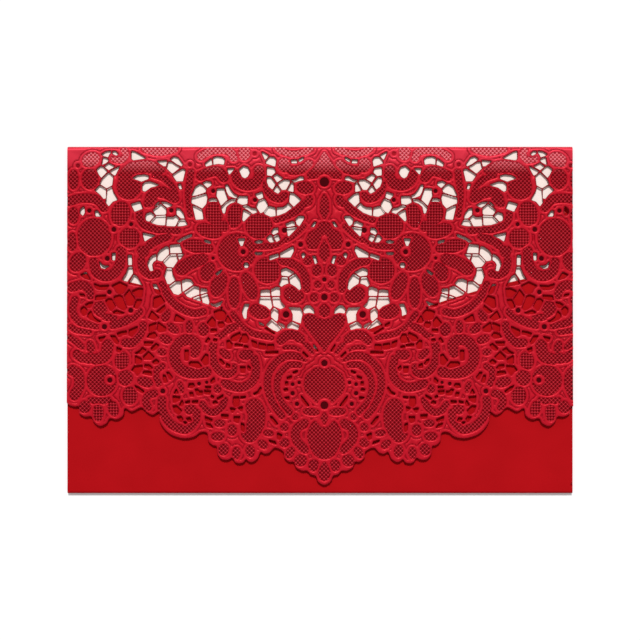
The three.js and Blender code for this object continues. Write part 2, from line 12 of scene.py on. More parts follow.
import bpy
import numpy as np
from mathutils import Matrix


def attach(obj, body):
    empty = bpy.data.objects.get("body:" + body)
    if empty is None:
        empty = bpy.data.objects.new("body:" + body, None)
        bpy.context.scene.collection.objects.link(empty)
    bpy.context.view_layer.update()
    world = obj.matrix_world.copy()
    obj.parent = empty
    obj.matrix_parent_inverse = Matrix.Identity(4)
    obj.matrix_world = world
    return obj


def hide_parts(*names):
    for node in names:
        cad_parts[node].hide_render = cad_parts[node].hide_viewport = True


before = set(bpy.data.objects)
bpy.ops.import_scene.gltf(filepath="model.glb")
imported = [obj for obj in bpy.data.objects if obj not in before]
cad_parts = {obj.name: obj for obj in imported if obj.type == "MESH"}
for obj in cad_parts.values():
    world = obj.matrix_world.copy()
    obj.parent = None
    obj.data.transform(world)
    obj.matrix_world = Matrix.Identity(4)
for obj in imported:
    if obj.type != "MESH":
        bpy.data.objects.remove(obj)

MM = 0.001
LOG = logging.getLogger("invitation")

# Lengths in millimetres that several pieces share
FOLD_LINE = 63.5
HALF_COVER = 92.5
CARD_THICKNESS = 0.35
TOP_BEND = 1.125
TAPE_WIDTH = 1.2
EYELET_FLOOR = 0.06

# Looks of the card. The shade's span is one of its noise, the other spans and the depth are in millimetres,
# and each share says how much of another colour shows.
GRAIN_DETAIL = 3.0
CLOUD_DETAIL = 2.0
SHADE_SPAN = (0.7, 1.3)
GRAIN_STRENGTH = 0.6
# Painted highlight: the card is paler beside the top fold, where the curving flap catches the lamp.
FOLD_HIGHLIGHT_SPAN = (FOLD_LINE - 10.0, FOLD_LINE - 4.0)
FOLD_HIGHLIGHT_SHARE = 0.85
# Painted shade: the pressed line beside each tape is a real crease, darkened in colour as painted shade.
LINE_SPAN = (0.0, 0.3)
CREASE_SHADE_SHARE = 0.6
LINE_DEPTH = 0.12
# Painted shade with scorch: cut edges and thin bars are darkened partly as scorch from the cutter and
# partly as painted shade, and only a little on the lower half.
SCORCH_AND_SHADE_SPAN = (0.1, 0.6)
SCORCH_AND_SHADE_SHARE = 0.85
SCORCH_AND_SHADE_RISE = (0.0, 20.0)
SCORCH_AND_SHADE_LOW_SHARE = 0.15

# Angles in degrees past which an edge of a piece stays crisp
CRISP_LACE = 50.0
CRISP_CARD = 40.0
CRISP_THREAD = 100.0

# The lace is drawn on its left half and is then mirrored. All lists are in millimetres to the left of its
# middle line and down from the top fold. Each row of an outline is a run of such pairs.
SCALLOPED_EDGE = (
    94.6, 91, 94.5, 93, 93.4, 94.5, 91.2, 95.2, 89.7, 95.2, 89.6, 97.6, 87.4, 98.9, 85.2, 98.8, 84.2, 100.8,
    82.1, 102.3, 79.6, 101.3, 78.4, 99.5, 75.9, 99.9, 73.5, 98.4, 72.9, 95.8, 70.4, 97, 67.4, 95.6, 66.2,
    95.8, 64.6, 97.4, 62.6, 98.2, 60.4, 97.1, 60.2, 100.4, 58.4, 103.4, 56, 105.4, 53, 106.5, 50.4, 106.8,
    47.4, 106.1, 45.3, 104.6, 42.9, 104.8, 42.4, 107.7, 40.8, 109.3, 39.4, 109.7, 39, 112.6, 37.4, 114.4,
    35.2, 114.6, 33.7, 113.9, 32.6, 115.4, 31.2, 115.9, 29.5, 115.5, 28.7, 114.4, 27.5, 115.3, 26, 115.3,
    24.3, 114, 23.3, 111.8, 21.8, 112.4, 20, 112, 18, 110.2, 15, 111.6, 14.6, 113.8, 12.9, 115.3, 11.3,
    115.4, 10.3, 117.4, 8.2, 118.6, 6.3, 118.6, 5, 119.9, 3.2, 120.5, 2.4, 122.4, 0.9, 123.5, 0, 123.7,
)

OPENINGS = (
    # Corner group
    (81.3, 2.9, 80, 2.1, 78.1, 1.8, 78.9, 2.7, 79.4, 3.8, 80.6, 3.3),
    (77.7, 1.9, 76.6, 1.9, 75.7, 2.7, 76.2, 3.1, 77.2, 2.6),
    (80.9, 4.2, 79.8, 4.3, 79.2, 5.1, 80.1, 5.9, 81.3, 6.4, 81, 5.3),
    (79, 6.3, 77, 7.3, 78.9, 8.4, 80.5, 7.4),
    (83.2, 8.5, 82, 7.5, 81, 7.6, 79.7, 9.1, 81.6, 11.2, 82.3, 10.3),
    (78.3, 9.1, 75.2, 7.5, 76.7, 10.4, 77.5, 10.1),
    (79, 9.8, 77.5, 10.9, 77.9, 14.2, 79.7, 15.2, 82, 13.7, 81, 11.5),
    (83.7, 16, 82.1, 14.4, 80, 15.6, 80, 19, 80.8, 18.9, 82, 17.4),
    (79.5, 15.8, 78, 14.9, 77.7, 16.4, 75.9, 19.4, 77.6, 20, 78.9, 21.6, 79.8, 20.4),
    (88.1, 22.2, 89, 23, 89.3, 24.2, 88.4, 25.1, 87.9, 24.2, 88, 23),
    (83.8, 23.8, 83.2, 23.7, 81.9, 25.4, 83.5, 25.4),
    # Upper left scrolls
    (70.4, 1.9, 69.5, 2.1, 65.7, 4.2, 69.9, 4.8, 70.4, 4.4), (60.9, 5.5, 57.8, 5.3, 58.1, 7, 58.8, 7),
    (56.1, 4.6, 55, 3.9, 53.7, 4.3, 52.1, 6.5, 52.3, 7, 54, 6.3),
    (57, 5.8, 56, 5.9, 53.1, 7.6, 55.6, 9.7, 57.6, 7.8),
    (55.4, 10.4, 51.9, 8.4, 51.1, 8.7, 52, 12.5, 54, 12.5), (53.3, 14, 52.8, 13.8, 52.3, 15.3, 52.8, 15.5),
    (69.9, 11.6, 68.5, 10.8, 66, 10.5, 64.5, 10.9, 64.6, 11.7, 67, 12.6, 68.3, 12.1),
    (66.4, 14, 65.5, 13.2, 63.7, 13.1, 60.9, 14.1, 63.6, 14.8, 65.7, 16.3, 66.4, 16),
    (70.5, 21.2, 67.6, 20.4, 66.7, 22.6, 69.3, 23.6),
    # Eye with its eyelet
    (61.9, 21.9, 61.1, 20.8, 60.2, 20.3, 61.2, 21.6), (59.8, 20.4, 57.7, 20.6, 55.9, 21.5, 57.6, 22.2),
    (60, 21.1, 58.1, 22.6, 58.2, 24.9, 61.6, 25, 62.5, 23.4),
    (53.9, 22.8, 53, 23, 51.8, 24.6, 51.3, 26.2, 52.5, 26.1, 53.9, 24.9),
    (65, 24.7, 63.6, 24.3, 62.2, 25.4, 64, 27.3, 65, 27, 65.3, 25.8),
    (61.6, 25.5, 58.1, 25.3, 58.3, 28.7, 61, 28.5, 63.5, 27.7),
    (57.6, 26, 55.3, 26.1, 54.4, 25.4, 53.3, 26.5, 54.5, 29, 57.9, 28.9),
    (53.1, 27, 51.2, 27, 50.3, 28.5, 52, 28.9, 53.9, 29), (66.3, 31.8, 62.2, 32.7, 64, 33.4, 65.6, 34.5),
    (53.7, 34.8, 51.5, 33.4, 48.5, 32.2, 48.7, 32.8, 52, 34.2, 53, 35),
    # Inside the hooked scroll
    (61.5, 39.6, 61.6, 41.5, 62.6, 42, 63.3, 43.3, 62.8, 45.3, 63.6, 45.4, 64.5, 43, 63.7, 41, 62.5, 39.9),
    (61.1, 39.8, 60, 38.2, 57.9, 36.8, 57.1, 37, 56.9, 39.3, 59.2, 41.9, 61, 41.4),
    (56.3, 36.3, 53.1, 36, 52.2, 38.9, 56.4, 39), (53.8, 39.6, 51.6, 39.5, 53, 41.2),
    (56.4, 39.6, 54.4, 39.5, 53.8, 41.6, 55.5, 44.2, 57.3, 44, 58.9, 42.1),
    (57.5, 44.7, 56, 44.6, 55.9, 46.5, 54.7, 48.8, 56.5, 50.2, 57.3, 50.1, 58.3, 47.3),
    (71.7, 40, 70.7, 40, 70.6, 43.2, 71.6, 43.2),
    (71.5, 44.3, 70.5, 44.3, 70.2, 46.3, 72.3, 49.4, 73.7, 48.7, 72.3, 46.5),
    (69.6, 47.1, 68.6, 47.8, 66.7, 51, 71.3, 50.1), (88.9, 47, 87.2, 46.2, 85.8, 48.6, 87.6, 48),
    (77.5, 39.3, 76.6, 39.2, 76.8, 41.5, 77.4, 41.4),
    (82.2, 42.4, 81.5, 43.4, 80.2, 43.9, 79, 43.8, 80.2, 44.6, 81.5, 44.3),
    # Large flower
    (31.4, 34, 29.3, 33.9, 30.1, 36.2, 30.5, 36.2),
    (29.4, 43.5, 29, 42.8, 28.2, 42.8, 27.8, 43.5, 28.2, 44.2, 29, 44.2),
    (43.8, 34.3, 41.7, 34.9, 41.8, 35.4, 43.6, 34.9), (39.6, 46.6, 37.6, 45.3, 37.9, 46, 39.2, 47),
    (25.3, 35, 24, 34.5, 22.7, 34.8, 22.9, 35.2, 25, 35.3), (25.3, 39, 22.8, 39, 23.2, 39.5, 25, 39.5),
    # Above the large flower
    (43.5, 6.3, 41.4, 4.7, 41.2, 6.5, 43.2, 7.1),
    (40.6, 4.3, 39.5, 3.9, 37.6, 4.1, 36.7, 4.8, 37, 6.4, 38.8, 6.1, 40.5, 6.4),
    (35.3, 8.3, 33.2, 8.2, 34.8, 10),
    (31, 8.6, 29.6, 7.4, 28.2, 7.8, 27.5, 9.4, 28.2, 10.8, 29.1, 11.4, 30, 10.9),
    (44.4, 13.5, 43.2, 12.9, 41.6, 13.2, 41.6, 14, 42.8, 14.9),
    (48.4, 17.9, 47, 14.9, 45.6, 14, 44.6, 14.3, 43.4, 15.6, 43.7, 16.6, 47, 17.8),
    (48.4, 18.9, 43.4, 17.5, 43, 19, 43.5, 21, 44.8, 22.5, 46, 21.8, 48.4, 20.6),
    (48, 21.8, 46.5, 22.4, 45, 23.2, 44.5, 26.4, 46.9, 26.6),
    (42.3, 19.6, 41.2, 19.2, 39.7, 19.3, 39.2, 20, 40.5, 19.9, 42, 20),
    (39.1, 15.7, 36.9, 15.6, 36.2, 17.6, 35.6, 19.4, 37.7, 21.4, 39.3, 18),
    (36.1, 14.2, 35.5, 14.2, 34.6, 15.9, 33.3, 17.5, 31.9, 18.2, 32.2, 18.9, 34.8, 17.9, 35.6, 16.5),
    (37.5, 22.3, 36, 20.6, 34, 19.5, 32.2, 19.5, 32.9, 20.1, 34.6, 20.7, 36.1, 22, 36.6, 24.3, 37, 24.2),
    (31.8, 19, 31.2, 18.4, 28.3, 18.5, 28.4, 20.9, 29.9, 21.2, 31.8, 20.3),
    (25.1, 17.6, 22.9, 16.8, 22.5, 18.6, 23.9, 19.2),
    (23.9, 20, 22.1, 19.2, 21, 21, 20.8, 21.8, 22.3, 23.9, 23.3, 24.2, 24.7, 22),
    (29.8, 22, 28.5, 21.7, 26.8, 22.7, 25.2, 22.9, 24.7, 23.9, 26.3, 24.5, 28, 23),
    (29.5, 23.4, 27, 24.6, 29.5, 27.2, 29.9, 26.6),
    # Under the top fold, beside the axis
    (22.7, 2.2, 20.6, 3.4, 21.6, 4.7), (20, 4, 18.6, 4.1, 17.9, 4.9, 18.2, 7.1, 21.2, 6, 21.2, 5.3),
    (20.8, 7.8, 18.6, 8.1, 18.1, 9.3, 19.4, 10.6, 20.8, 10.3),
    (18.5, 10.9, 17.4, 10.4, 15.4, 11.7, 17.2, 12.9),
    (20.8, 11.5, 19.7, 11.5, 18.1, 13.6, 19, 15.5, 20.2, 14.5, 20.8, 13),
    (17.4, 14.6, 16.1, 16, 17, 17, 18.6, 16.1),
    (16.8, 13.5, 14.8, 12.3, 13, 12.4, 12.7, 12.9, 14.1, 15.6, 15.6, 15.7),
    (11.9, 13.3, 11.5, 13.7, 11.5, 16.5, 13.4, 15.9),
    (12, 12.5, 10.5, 12.3, 8.9, 11.2, 7.9, 11.3, 7.7, 12, 9.4, 12.4, 11, 12.9),
    (12.4, 17.2, 11.3, 17.4, 8.8, 19.5, 11.2, 21.8, 12.7, 20.3),
    (17.2, 22.6, 15.2, 22.5, 13.8, 21.7, 13.2, 20.9, 11.9, 22.2, 14.3, 24, 17.3, 25.2),
    (20.5, 22, 18.2, 22.6, 17.9, 25.2, 19.7, 25.5, 22.2, 24.3), (12, 5.1, 10.3, 5, 10.2, 5.9, 11.8, 5.9),
    (9.4, 5, 7.8, 4.1, 7.9, 4.6, 9, 5.4),
    # Beside the spade
    (19.2, 31.3, 18.4, 30.1, 17.1, 30, 17.1, 31.3, 18.6, 32.2),
    (20.9, 33.6, 19.9, 32.6, 19.4, 32.7, 18.5, 34.8, 19.8, 34.9),
    (18.5, 33, 17, 32.5, 16.3, 33.9, 17.4, 34.7), (14, 28.5, 11.8, 27.5, 10.9, 28, 11, 28.9, 13.5, 29.4),
    (13.6, 30, 10.2, 29.7, 13.1, 32.7), (10.4, 26.8, 9.3, 25.7, 7.8, 25.7, 7.5, 26.1, 9.2, 28.9, 10, 28.3),
    (4.6, 29.3, 3.6, 27.8, 3.1, 27.8, 4, 29.2), (20, 40.4, 17, 39.4, 16.8, 40.3, 19.8, 41.4),
    (16, 39.2, 11.6, 36.8, 11.3, 38, 12.5, 40.4, 15.9, 40.4), (8.2, 39.6, 7.7, 39.1, 7, 39.7, 7.8, 40.7),
    (4.2, 40.3, 3.4, 40.3, 2.7, 42.4, 3.3, 42.8, 3.6, 41.5),
    (15.6, 45.2, 14, 44.7, 11.3, 46.2, 13.2, 47.4, 15.5, 47),
    (15.4, 48, 13.7, 48, 13.2, 49.9, 14.9, 50.5, 15.7, 51.1, 16.4, 50.5),
    (12.6, 48, 10.7, 46.8, 9.2, 48.9, 8.7, 51.8, 9.2, 52.3, 10.4, 51.2, 12.3, 50),
    # Beside the heart
    (7.6, 59.5, 6.6, 58.4, 5.5, 58.3, 4.2, 59.4, 3.7, 61, 5.4, 60.6, 7.3, 60.9),
    (13, 59, 9, 59.2, 8.4, 60.1, 8.1, 61, 8.6, 63, 8.8, 64.5, 11.5, 63.5, 11.3, 61.5, 11.9, 60),
    (11.9, 64.3, 9.3, 65.7, 9.8, 66.9, 11.7, 66.4, 13.7, 66.3, 13.3, 65.4),
    (16.9, 64.5, 15, 65.3, 14.3, 66.2, 15.2, 66.4),
    (19.2, 63.4, 16.9, 65.2, 15.7, 66.6, 17.7, 67.8, 21.1, 65.4),
    (21.8, 66.1, 18.1, 68.3, 18.5, 68.6, 21.5, 66.7), (23.8, 64.4, 22.3, 65.2, 22, 66, 23.5, 65.5),
    (19.3, 60.4, 18.4, 59.2, 17, 60.3, 17.2, 63.3, 17.7, 63.9, 19.2, 62.5),
    (18.9, 55.3, 16.6, 55.2, 16, 57, 14.5, 58.6, 16, 59.3, 18.6, 58.2),
    (19.4, 52.5, 17.5, 51.6, 16.5, 51.8, 16.4, 54.6, 19.2, 54.6),
    (23.1, 52.8, 21, 52.6, 20, 52.8, 19.9, 54.6, 23.2, 54.6),
    (23.3, 55.2, 19.8, 55.2, 19.1, 58.3, 19.9, 59.5, 21.2, 58.3, 23.8, 57.2),
    # Under the large flower
    (45.1, 52.2, 43.2, 52.3, 43, 53.2, 45.2, 54.1), (45, 54.6, 43, 54, 42.3, 56, 42.4, 57.6, 44.3, 57),
    (47.9, 55.6, 46, 54.8, 45.2, 56.4, 46.4, 56.1),
    (51, 53.6, 47.6, 51.3, 46, 51.7, 45.9, 54, 48.8, 55.2, 50, 54.8),
    (52, 49.3, 50.6, 48.7, 49, 48.9, 48, 50.3, 51.8, 53),
    (56.5, 51.3, 54.3, 49.6, 52.7, 49.7, 52.4, 53.4, 53.5, 54.1, 55, 53.7),
    (41.5, 57.6, 40, 57.9, 37.4, 56.8, 38.3, 58.1, 39.5, 58.6, 41, 58.2),
    (40.3, 60.5, 38.5, 59.8, 37, 60, 36, 61.2, 36.4, 63, 38, 63.5, 39.5, 63),
    (30, 60.5, 29, 57.8, 27.6, 57.9, 28.5, 60, 28.7, 62.8, 29.2, 62.9),
    (42.8, 64.5, 41, 62.4, 40, 63.6, 40, 65.8, 41.4, 65.8), (35.4, 61.9, 34, 64.2, 35.2, 64.5, 36.2, 63.9),
    (38.6, 64.2, 37, 64.2, 36.7, 65.6, 37.9, 66.3, 38.7, 65.3),
    (41.4, 66.9, 39.5, 66.9, 39.5, 67.8, 41.3, 67.9), (43.4, 71.4, 42.4, 70, 41.9, 70.6, 43, 71.8),
    (40.4, 70.4, 39.2, 70.6, 39.5, 71.3, 40.5, 71.1),
    (34.2, 70.2, 33.4, 69.2, 31, 68.1, 30.6, 69.2, 32.4, 71.1, 33.8, 71),
    (29.8, 68.7, 28.6, 68.7, 27.8, 70.4, 28.4, 71.7, 31, 71.6),
    (35.6, 71.2, 34.8, 70.9, 33.7, 72.2, 34.2, 73.8, 35.4, 73.8), (32.6, 72.3, 30, 72.3, 30, 73, 32.6, 73),
    (29.3, 72.9, 28, 73.1, 28, 73.7, 29.2, 73.6), (24, 71.9, 21.4, 72.4, 21.6, 74.1, 23.8, 73.8),
    # Left middle lattice
    (76.8, 55, 75, 54.4, 73.9, 55, 73.7, 56, 72.4, 59, 73.4, 59.8, 75.2, 58.8, 76.7, 56.3),
    (71.4, 52.5, 69.3, 55.8, 70.2, 57.9, 71.9, 58, 73, 54.5),
    (70.3, 53, 68, 52, 66.5, 52.1, 66.8, 55, 68.6, 54.9),
    (77.6, 51, 74.8, 49.7, 72.2, 51, 73.8, 53.7, 75.7, 53.5, 76.3, 52.2),
    (68.5, 56.1, 66.9, 56.1, 67.2, 57.2, 68.5, 59.2, 69.6, 58.7, 69.1, 57.2),
    (62.5, 50.6, 61.6, 50.6, 60.2, 53.3, 60.5, 53.9, 61.5, 53.4),
    (62.2, 55.4, 60, 54.6, 58.5, 56.8, 61.8, 59, 62.5, 58.6),
    (61.3, 60.5, 58.5, 58.2, 58.3, 59.3, 59.9, 60.9), (63.1, 60.3, 60.5, 62.7, 62, 63.5, 64.2, 62.6),
    (64, 65.4, 61.6, 64.5, 61.9, 67, 63.9, 67.6),
    (60.7, 64.4, 58, 66.3, 58.2, 67.4, 60.2, 67.8, 61.2, 66.8),
    (64.7, 69.7, 63.8, 68.4, 62.2, 67.9, 61.2, 69.3, 62.4, 70.1),
    (65.8, 71.5, 62.6, 71.6, 63.8, 72.8, 65.5, 72.8),
    (63.3, 73.8, 61.5, 72.1, 60.5, 72.7, 61.5, 73.9, 63, 74.6),
    (54.2, 61.5, 51.2, 63.3, 51.9, 64, 54.8, 63.8),
    (79.9, 56.5, 79, 55.7, 77.8, 55.9, 76.5, 58.4, 78, 60, 79.2, 58),
    (77.2, 60.6, 76, 60, 73.3, 60.9, 74.3, 61.2, 77, 61),
    (84, 50.4, 82, 51.1, 78.9, 50.9, 80.2, 52.3, 82.5, 52.2, 83.5, 51.6),
    (83.4, 54.7, 80, 54.5, 80.2, 55.6, 83.6, 56.1), (87.4, 58, 86, 57.2, 84.7, 57, 85.5, 58.6, 86.2, 59),
    (88.9, 59.3, 88, 58.6, 86.8, 59.5, 87.2, 61.3, 88, 61.8, 88.9, 60.6),
    (86.3, 61.2, 85.4, 60.3, 84.6, 62.3, 83, 63.5, 81.8, 64, 83, 64.2, 85.3, 63.2, 86.4, 62.3),
    (89.4, 54, 88, 54.2, 87.7, 54.9, 88.9, 54.6), (82.5, 70, 80.1, 69.5, 81.7, 71.3),
    (78.1, 69.3, 76.6, 69.3, 75.3, 71.5, 75.7, 72.2, 76.6, 71.4),
    (75.7, 68.4, 74.5, 67.9, 72.3, 67.5, 72.5, 68.6, 74, 68.8, 75, 69.6),
    (71.4, 67.2, 68.4, 65.9, 68.7, 67.4, 70.4, 69.4, 71.2, 69),
    (75.8, 73.6, 74.2, 74.2, 75, 75.2, 75.7, 74.8),
    (69.2, 75.7, 67.3, 74.6, 66.5, 73.6, 65.2, 74.5, 67, 75.7), (69, 76.6, 66.8, 77.7, 67, 79, 69, 79.3),
    (66.1, 76.8, 64.3, 75, 62.3, 77, 63.3, 77.8, 66, 77.7),
    (62.8, 78.8, 61.5, 77.9, 60.5, 78.7, 61, 79.4, 62.2, 79.5),
    (70.4, 81.8, 69.3, 80.3, 66.5, 80.1, 66.8, 81.6, 68.3, 83.6, 69.2, 82.4),
    (65.7, 79.8, 64, 79.9, 62.9, 81, 63.5, 81.4, 65.6, 80.7), (66, 82.2, 63.4, 82.3, 63.1, 83.7, 66.2, 83),
    (57.6, 82.6, 56.9, 82.6, 55.6, 84.4, 56.3, 85.2),
    (58.8, 83.6, 58.2, 83.8, 57.5, 86, 58.3, 86.3, 58.8, 85),
    (69.2, 87.5, 68, 88, 66, 89.5, 66.3, 90.1, 68.2, 89),
    # Lower left cells
    (54.1, 88.8, 53.5, 90.2, 54.9, 90.3), (55.3, 91.3, 52.8, 91.6, 53.1, 92.7, 55, 93.6),
    (52, 92.9, 51.6, 94, 52.2, 94.9, 52.9, 94.5), (50.8, 93.4, 49.2, 93, 49.4, 93.8, 50.6, 93.9),
    (48.2, 93.1, 46.3, 93, 46.4, 93.9, 48.1, 93.8),
    (49.4, 86.8, 47.9, 86.7, 47.5, 87.6, 48.5, 88.2, 49.6, 88),
    (47.2, 88.9, 46.4, 88.7, 45.8, 89.5, 44.6, 89.5, 44.8, 90.8, 46.3, 90.8),
    (49.2, 90, 48.2, 90, 47.9, 91.3, 48.9, 91.2), (43.4, 87.8, 41.6, 87.8, 41.7, 88.4, 43.3, 88.4),
    (43.8, 89.2, 41.6, 89.4, 42, 90.6, 43.5, 90.4), (41.5, 85.7, 40.3, 84.5, 40.2, 86, 41.2, 86.6),
    (41.3, 91, 40.4, 91.5, 40.7, 92.1, 41.4, 91.6), (39.2, 92.1, 37.1, 90.9, 37.2, 91.7, 38.9, 92.6),
    (40.7, 93.4, 39.6, 93, 39.1, 93.8, 40.5, 94.1),
    (33.1, 91.6, 31.3, 91.6, 31.2, 94.6, 32.5, 95.3, 33.3, 94),
    (30.6, 91.6, 28.8, 91.4, 29, 91.9, 30.5, 92.2),
    (25.9, 90.4, 24.3, 89.6, 23.3, 88, 23.1, 88.6, 24, 90.2, 25.5, 90.8),
    # Inside the lower scrolls
    (38.3, 77.8, 37.6, 78, 36.5, 79.4, 37, 79.7, 38, 78.7), (35.7, 79.4, 34.6, 80, 34.6, 80.9, 35.8, 80.8),
    (30.6, 80.6, 29, 80.6, 29.2, 82.6, 30.3, 82.6), (27.9, 80.2, 27, 81, 27.3, 82, 28, 81.3),
    (45, 78.2, 43.4, 76, 42.6, 76.3, 42.6, 79.4, 43.6, 79.9),
    (50.9, 74.6, 49.8, 74.6, 49.9, 78.2, 50.9, 78),
    (49.4, 79.2, 48.8, 78.8, 46.2, 78.8, 44.9, 80.4, 46, 80.9, 49.2, 80),
    # Beside the centre loop
    (21.4, 75.1, 17, 75, 17, 75.7, 21.3, 75.8), (26.5, 71, 24.7, 71.7, 24.6, 73.6, 26, 73),
    (20.7, 72.5, 18.6, 72.4, 18.5, 74.1, 20.8, 74.2), (7.8, 75.1, 6, 76.8, 6.4, 77.1, 7.8, 75.8),
    (3.9, 72.5, 2.4, 74.8, 2.9, 74.9, 3.8, 73.2), (11.5, 82.6, 9.9, 82, 10, 82.6, 11, 83.1),
    (13.6, 84.5, 12, 83.9, 12.3, 84.9, 13.4, 85.2), (14.2, 86.2, 13.5, 86, 13.4, 87.2, 14.1, 87.3),
    (14.8, 88.8, 13.7, 88.5, 13.4, 89.2, 14.3, 89.5), (14.5, 91.8, 13, 91.6, 12.9, 92.6, 13.7, 92.4),
    (8.4, 91.3, 7.8, 92, 5.7, 94.8, 6.4, 94.9, 7.9, 93),
    # Inside the lowest scroll and right of it
    (55.3, 94.9, 54, 94.8, 52.2, 96.6, 53.2, 97.9, 54.6, 97),
    (53.7, 98.9, 52.4, 98.7, 51.7, 99.8, 52.4, 100.6), (50.4, 99.4, 49.2, 99.2, 48.6, 100.2, 49.6, 100.6),
    (51.5, 100.7, 50.2, 100.8, 50.8, 101.5), (43.5, 98.8, 41, 99.9, 41.4, 100.7, 43.3, 100.2),
    (43.2, 101.1, 42, 101.3, 40.8, 102.8, 42.6, 102.4), (37.6, 98.1, 35.2, 98.2, 35.4, 99.4, 37.2, 99.3),
    (34.4, 95.7, 32.4, 95.8, 33.6, 97.2), (31.6, 95.5, 30, 95.2, 30.2, 96.7),
    (33, 98.8, 30.9, 98.8, 31.6, 101, 32.8, 100.4), (30.3, 101.2, 29.4, 101.6, 29.5, 104.2, 30.2, 103.6),
    # Bottom scallops
    (17.1, 104.8, 15.5, 105.5, 15.9, 106.1, 16.3, 107, 17, 106.8),
    (19.7, 98.7, 19, 99, 17.1, 101.4, 17.6, 101.8, 19.3, 99.8),
    (20.1, 107.4, 18, 108, 17.7, 108.8, 19.8, 108),
)

# Blind eyelets, pressed but not cut, as across, down and radius. The second list has those on the middle
# line.
EYELETS = (
    (90.2, 7, 0.7), (49.2, 6.6, 0.7), (25.5, 2.6, 0.7), (86, 23.5, 0.75), (77, 30.4, 0.85),
    (56, 23.4, 0.75), (40.7, 16.3, 0.7), (25.4, 19.6, 0.7), (79.4, 41, 0.85), (29.7, 38.6, 0.85),
    (14.6, 30.7, 0.9), (8.7, 35.9, 0.85), (78.6, 53.3, 0.8), (80.4, 66, 0.9), (70.8, 60, 0.85),
    (78.4, 85.5, 0.9), (59, 89.5, 0.85), (14, 61.5, 1.15), (70.7, 28.5, 0.7), (40.7, 40.9, 0.55),
    (43, 86.3, 0.55), (45.8, 86.8, 0.65), (11.6, 87, 0.65), (11.6, 90.3, 0.75), (10, 94.2, 0.75),
    (9.2, 86.4, 0.6), (37.6, 59.1, 0.45),
)
AXIS_EYELETS = ((0, 13, 1.7), (0, 48.7, 0.75), (0, 55.2, 1.15), (0, 79.3, 1.1), (0, 94.7, 1.4))

# Nets that are ovals, as across, down, half width, half height and turn in degrees
OVAL_NETS = (
    (48.8, 96.2, 1.9, 1.5, 0), (38.2, 101.3, 1.6, 0.9, 0), (33.7, 103.8, 1.3, 1.6, 0),
    (10.7, 98.9, 0.8, 0.8, 0), (90.2, 42.4, 2.4, 3.2, 30), (2.8, 45.4, 1.3, 1.7, 0), (14.6, 7, 2, 2.4, 0),
    (6, 20.2, 1.2, 2, 30), (71.7, 14.8, 4.2, 4.2, 0), (63.2, 19.6, 1.9, 2.2, 0), (66.2, 38.6, 2, 2, 0),
    (85.5, 4.9, 3, 2.2, -25), (85.8, 12, 2.6, 3.3, 0), (91.8, 12.2, 1.4, 3.2, 0), (91.8, 25.4, 1.5, 2.6, 0),
    (84.2, 33.3, 5.8, 6.4, 0), (92.2, 35, 1.2, 3, 0), (29.3, 2.6, 1.9, 2.2, 0), (7, 15.2, 2.7, 1.8, 10),
    (32, 38.7, 6.5, 6.4, 0), (42.6, 45.8, 2.2, 3.2, 20), (38.6, 50.5, 2.3, 4.3, 20),
    (33, 53.6, 1.6, 5.2, 0), (27.4, 51.2, 2, 4.8, -22), (6.1, 41.8, 1.4, 1.3, 0), (2.4, 50.6, 0.9, 0.9, 0),
    (3.6, 55.4, 1.2, 1.2, 0), (11.2, 54.3, 3.3, 2.5, 12), (23.6, 60.4, 3.5, 2.3, 10),
    (82, 59.4, 2.3, 2.7, 0), (58, 61.8, 1.3, 2, 20), (55.4, 66.6, 2.2, 1.1, 35), (49.4, 66.2, 0.9, 2, 0),
    (58, 70.6, 2.1, 1.1, 20), (44.2, 67, 1.5, 2, 0), (36.3, 76, 2, 1, 40), (28.4, 76.3, 2.4, 1.5, 0),
    (65.4, 86.3, 2.6, 1.3, 15), (59.4, 75.3, 1.3, 0.8, 10), (72.7, 84.7, 2.3, 2.4, 0),
    (81.3, 85.7, 5.1, 5.2, 0), (85.4, 73.8, 1.1, 2.2, -12), (87.4, 95.2, 1.7, 2, 30),
    (4.8, 97.1, 2.7, 0.9, 5), (14.6, 108.4, 1.4, 1.2, 0), (12.5, 112, 1.1, 1.8, 30),
    (8.7, 114.9, 1.9, 1.7, -20), (3.9, 116.7, 1.5, 1.7, 20), (14.6, 102.7, 1.1, 1, 0),
    (22.5, 109, 1.6, 1, 35), (27.1, 111.5, 1.3, 1.8, -8), (32.2, 112.2, 1.1, 1.8, 5),
    (36.8, 110.9, 1.5, 1.7, 20), (38.9, 106.1, 2, 1.1, 0), (20.5, 104.9, 1.6, 0.7, 10),
    (39, 88.7, 1, 1.1, 0), (52.5, 88.2, 0.7, 1.8, -15),
)

# Oval nets whose threads run along and across the page
STRAIGHT_NETS = (
    (74.6, 24.7, 3, 4.1, 12), (71.3, 33.6, 3.3, 3.3, 0), (23.9, 29.2, 4.5, 4.2, 0),
    (40.3, 25, 2.7, 4.1, -12), (32.6, 25.4, 2.4, 4.2, 15), (42, 30.9, 4.4, 2.2, 14),
    (46.2, 36.7, 5.2, 2, 10), (37.7, 29.2, 2.6, 1.9, 0), (20.8, 45.4, 4.4, 4.3, 0), (74, 78.4, 2.2, 2.9, 8),
    (71, 91.2, 2.3, 2.9, 0), (82.6, 97.4, 1.5, 2.8, 0), (77.2, 95.8, 1.5, 2.7, -18),
)

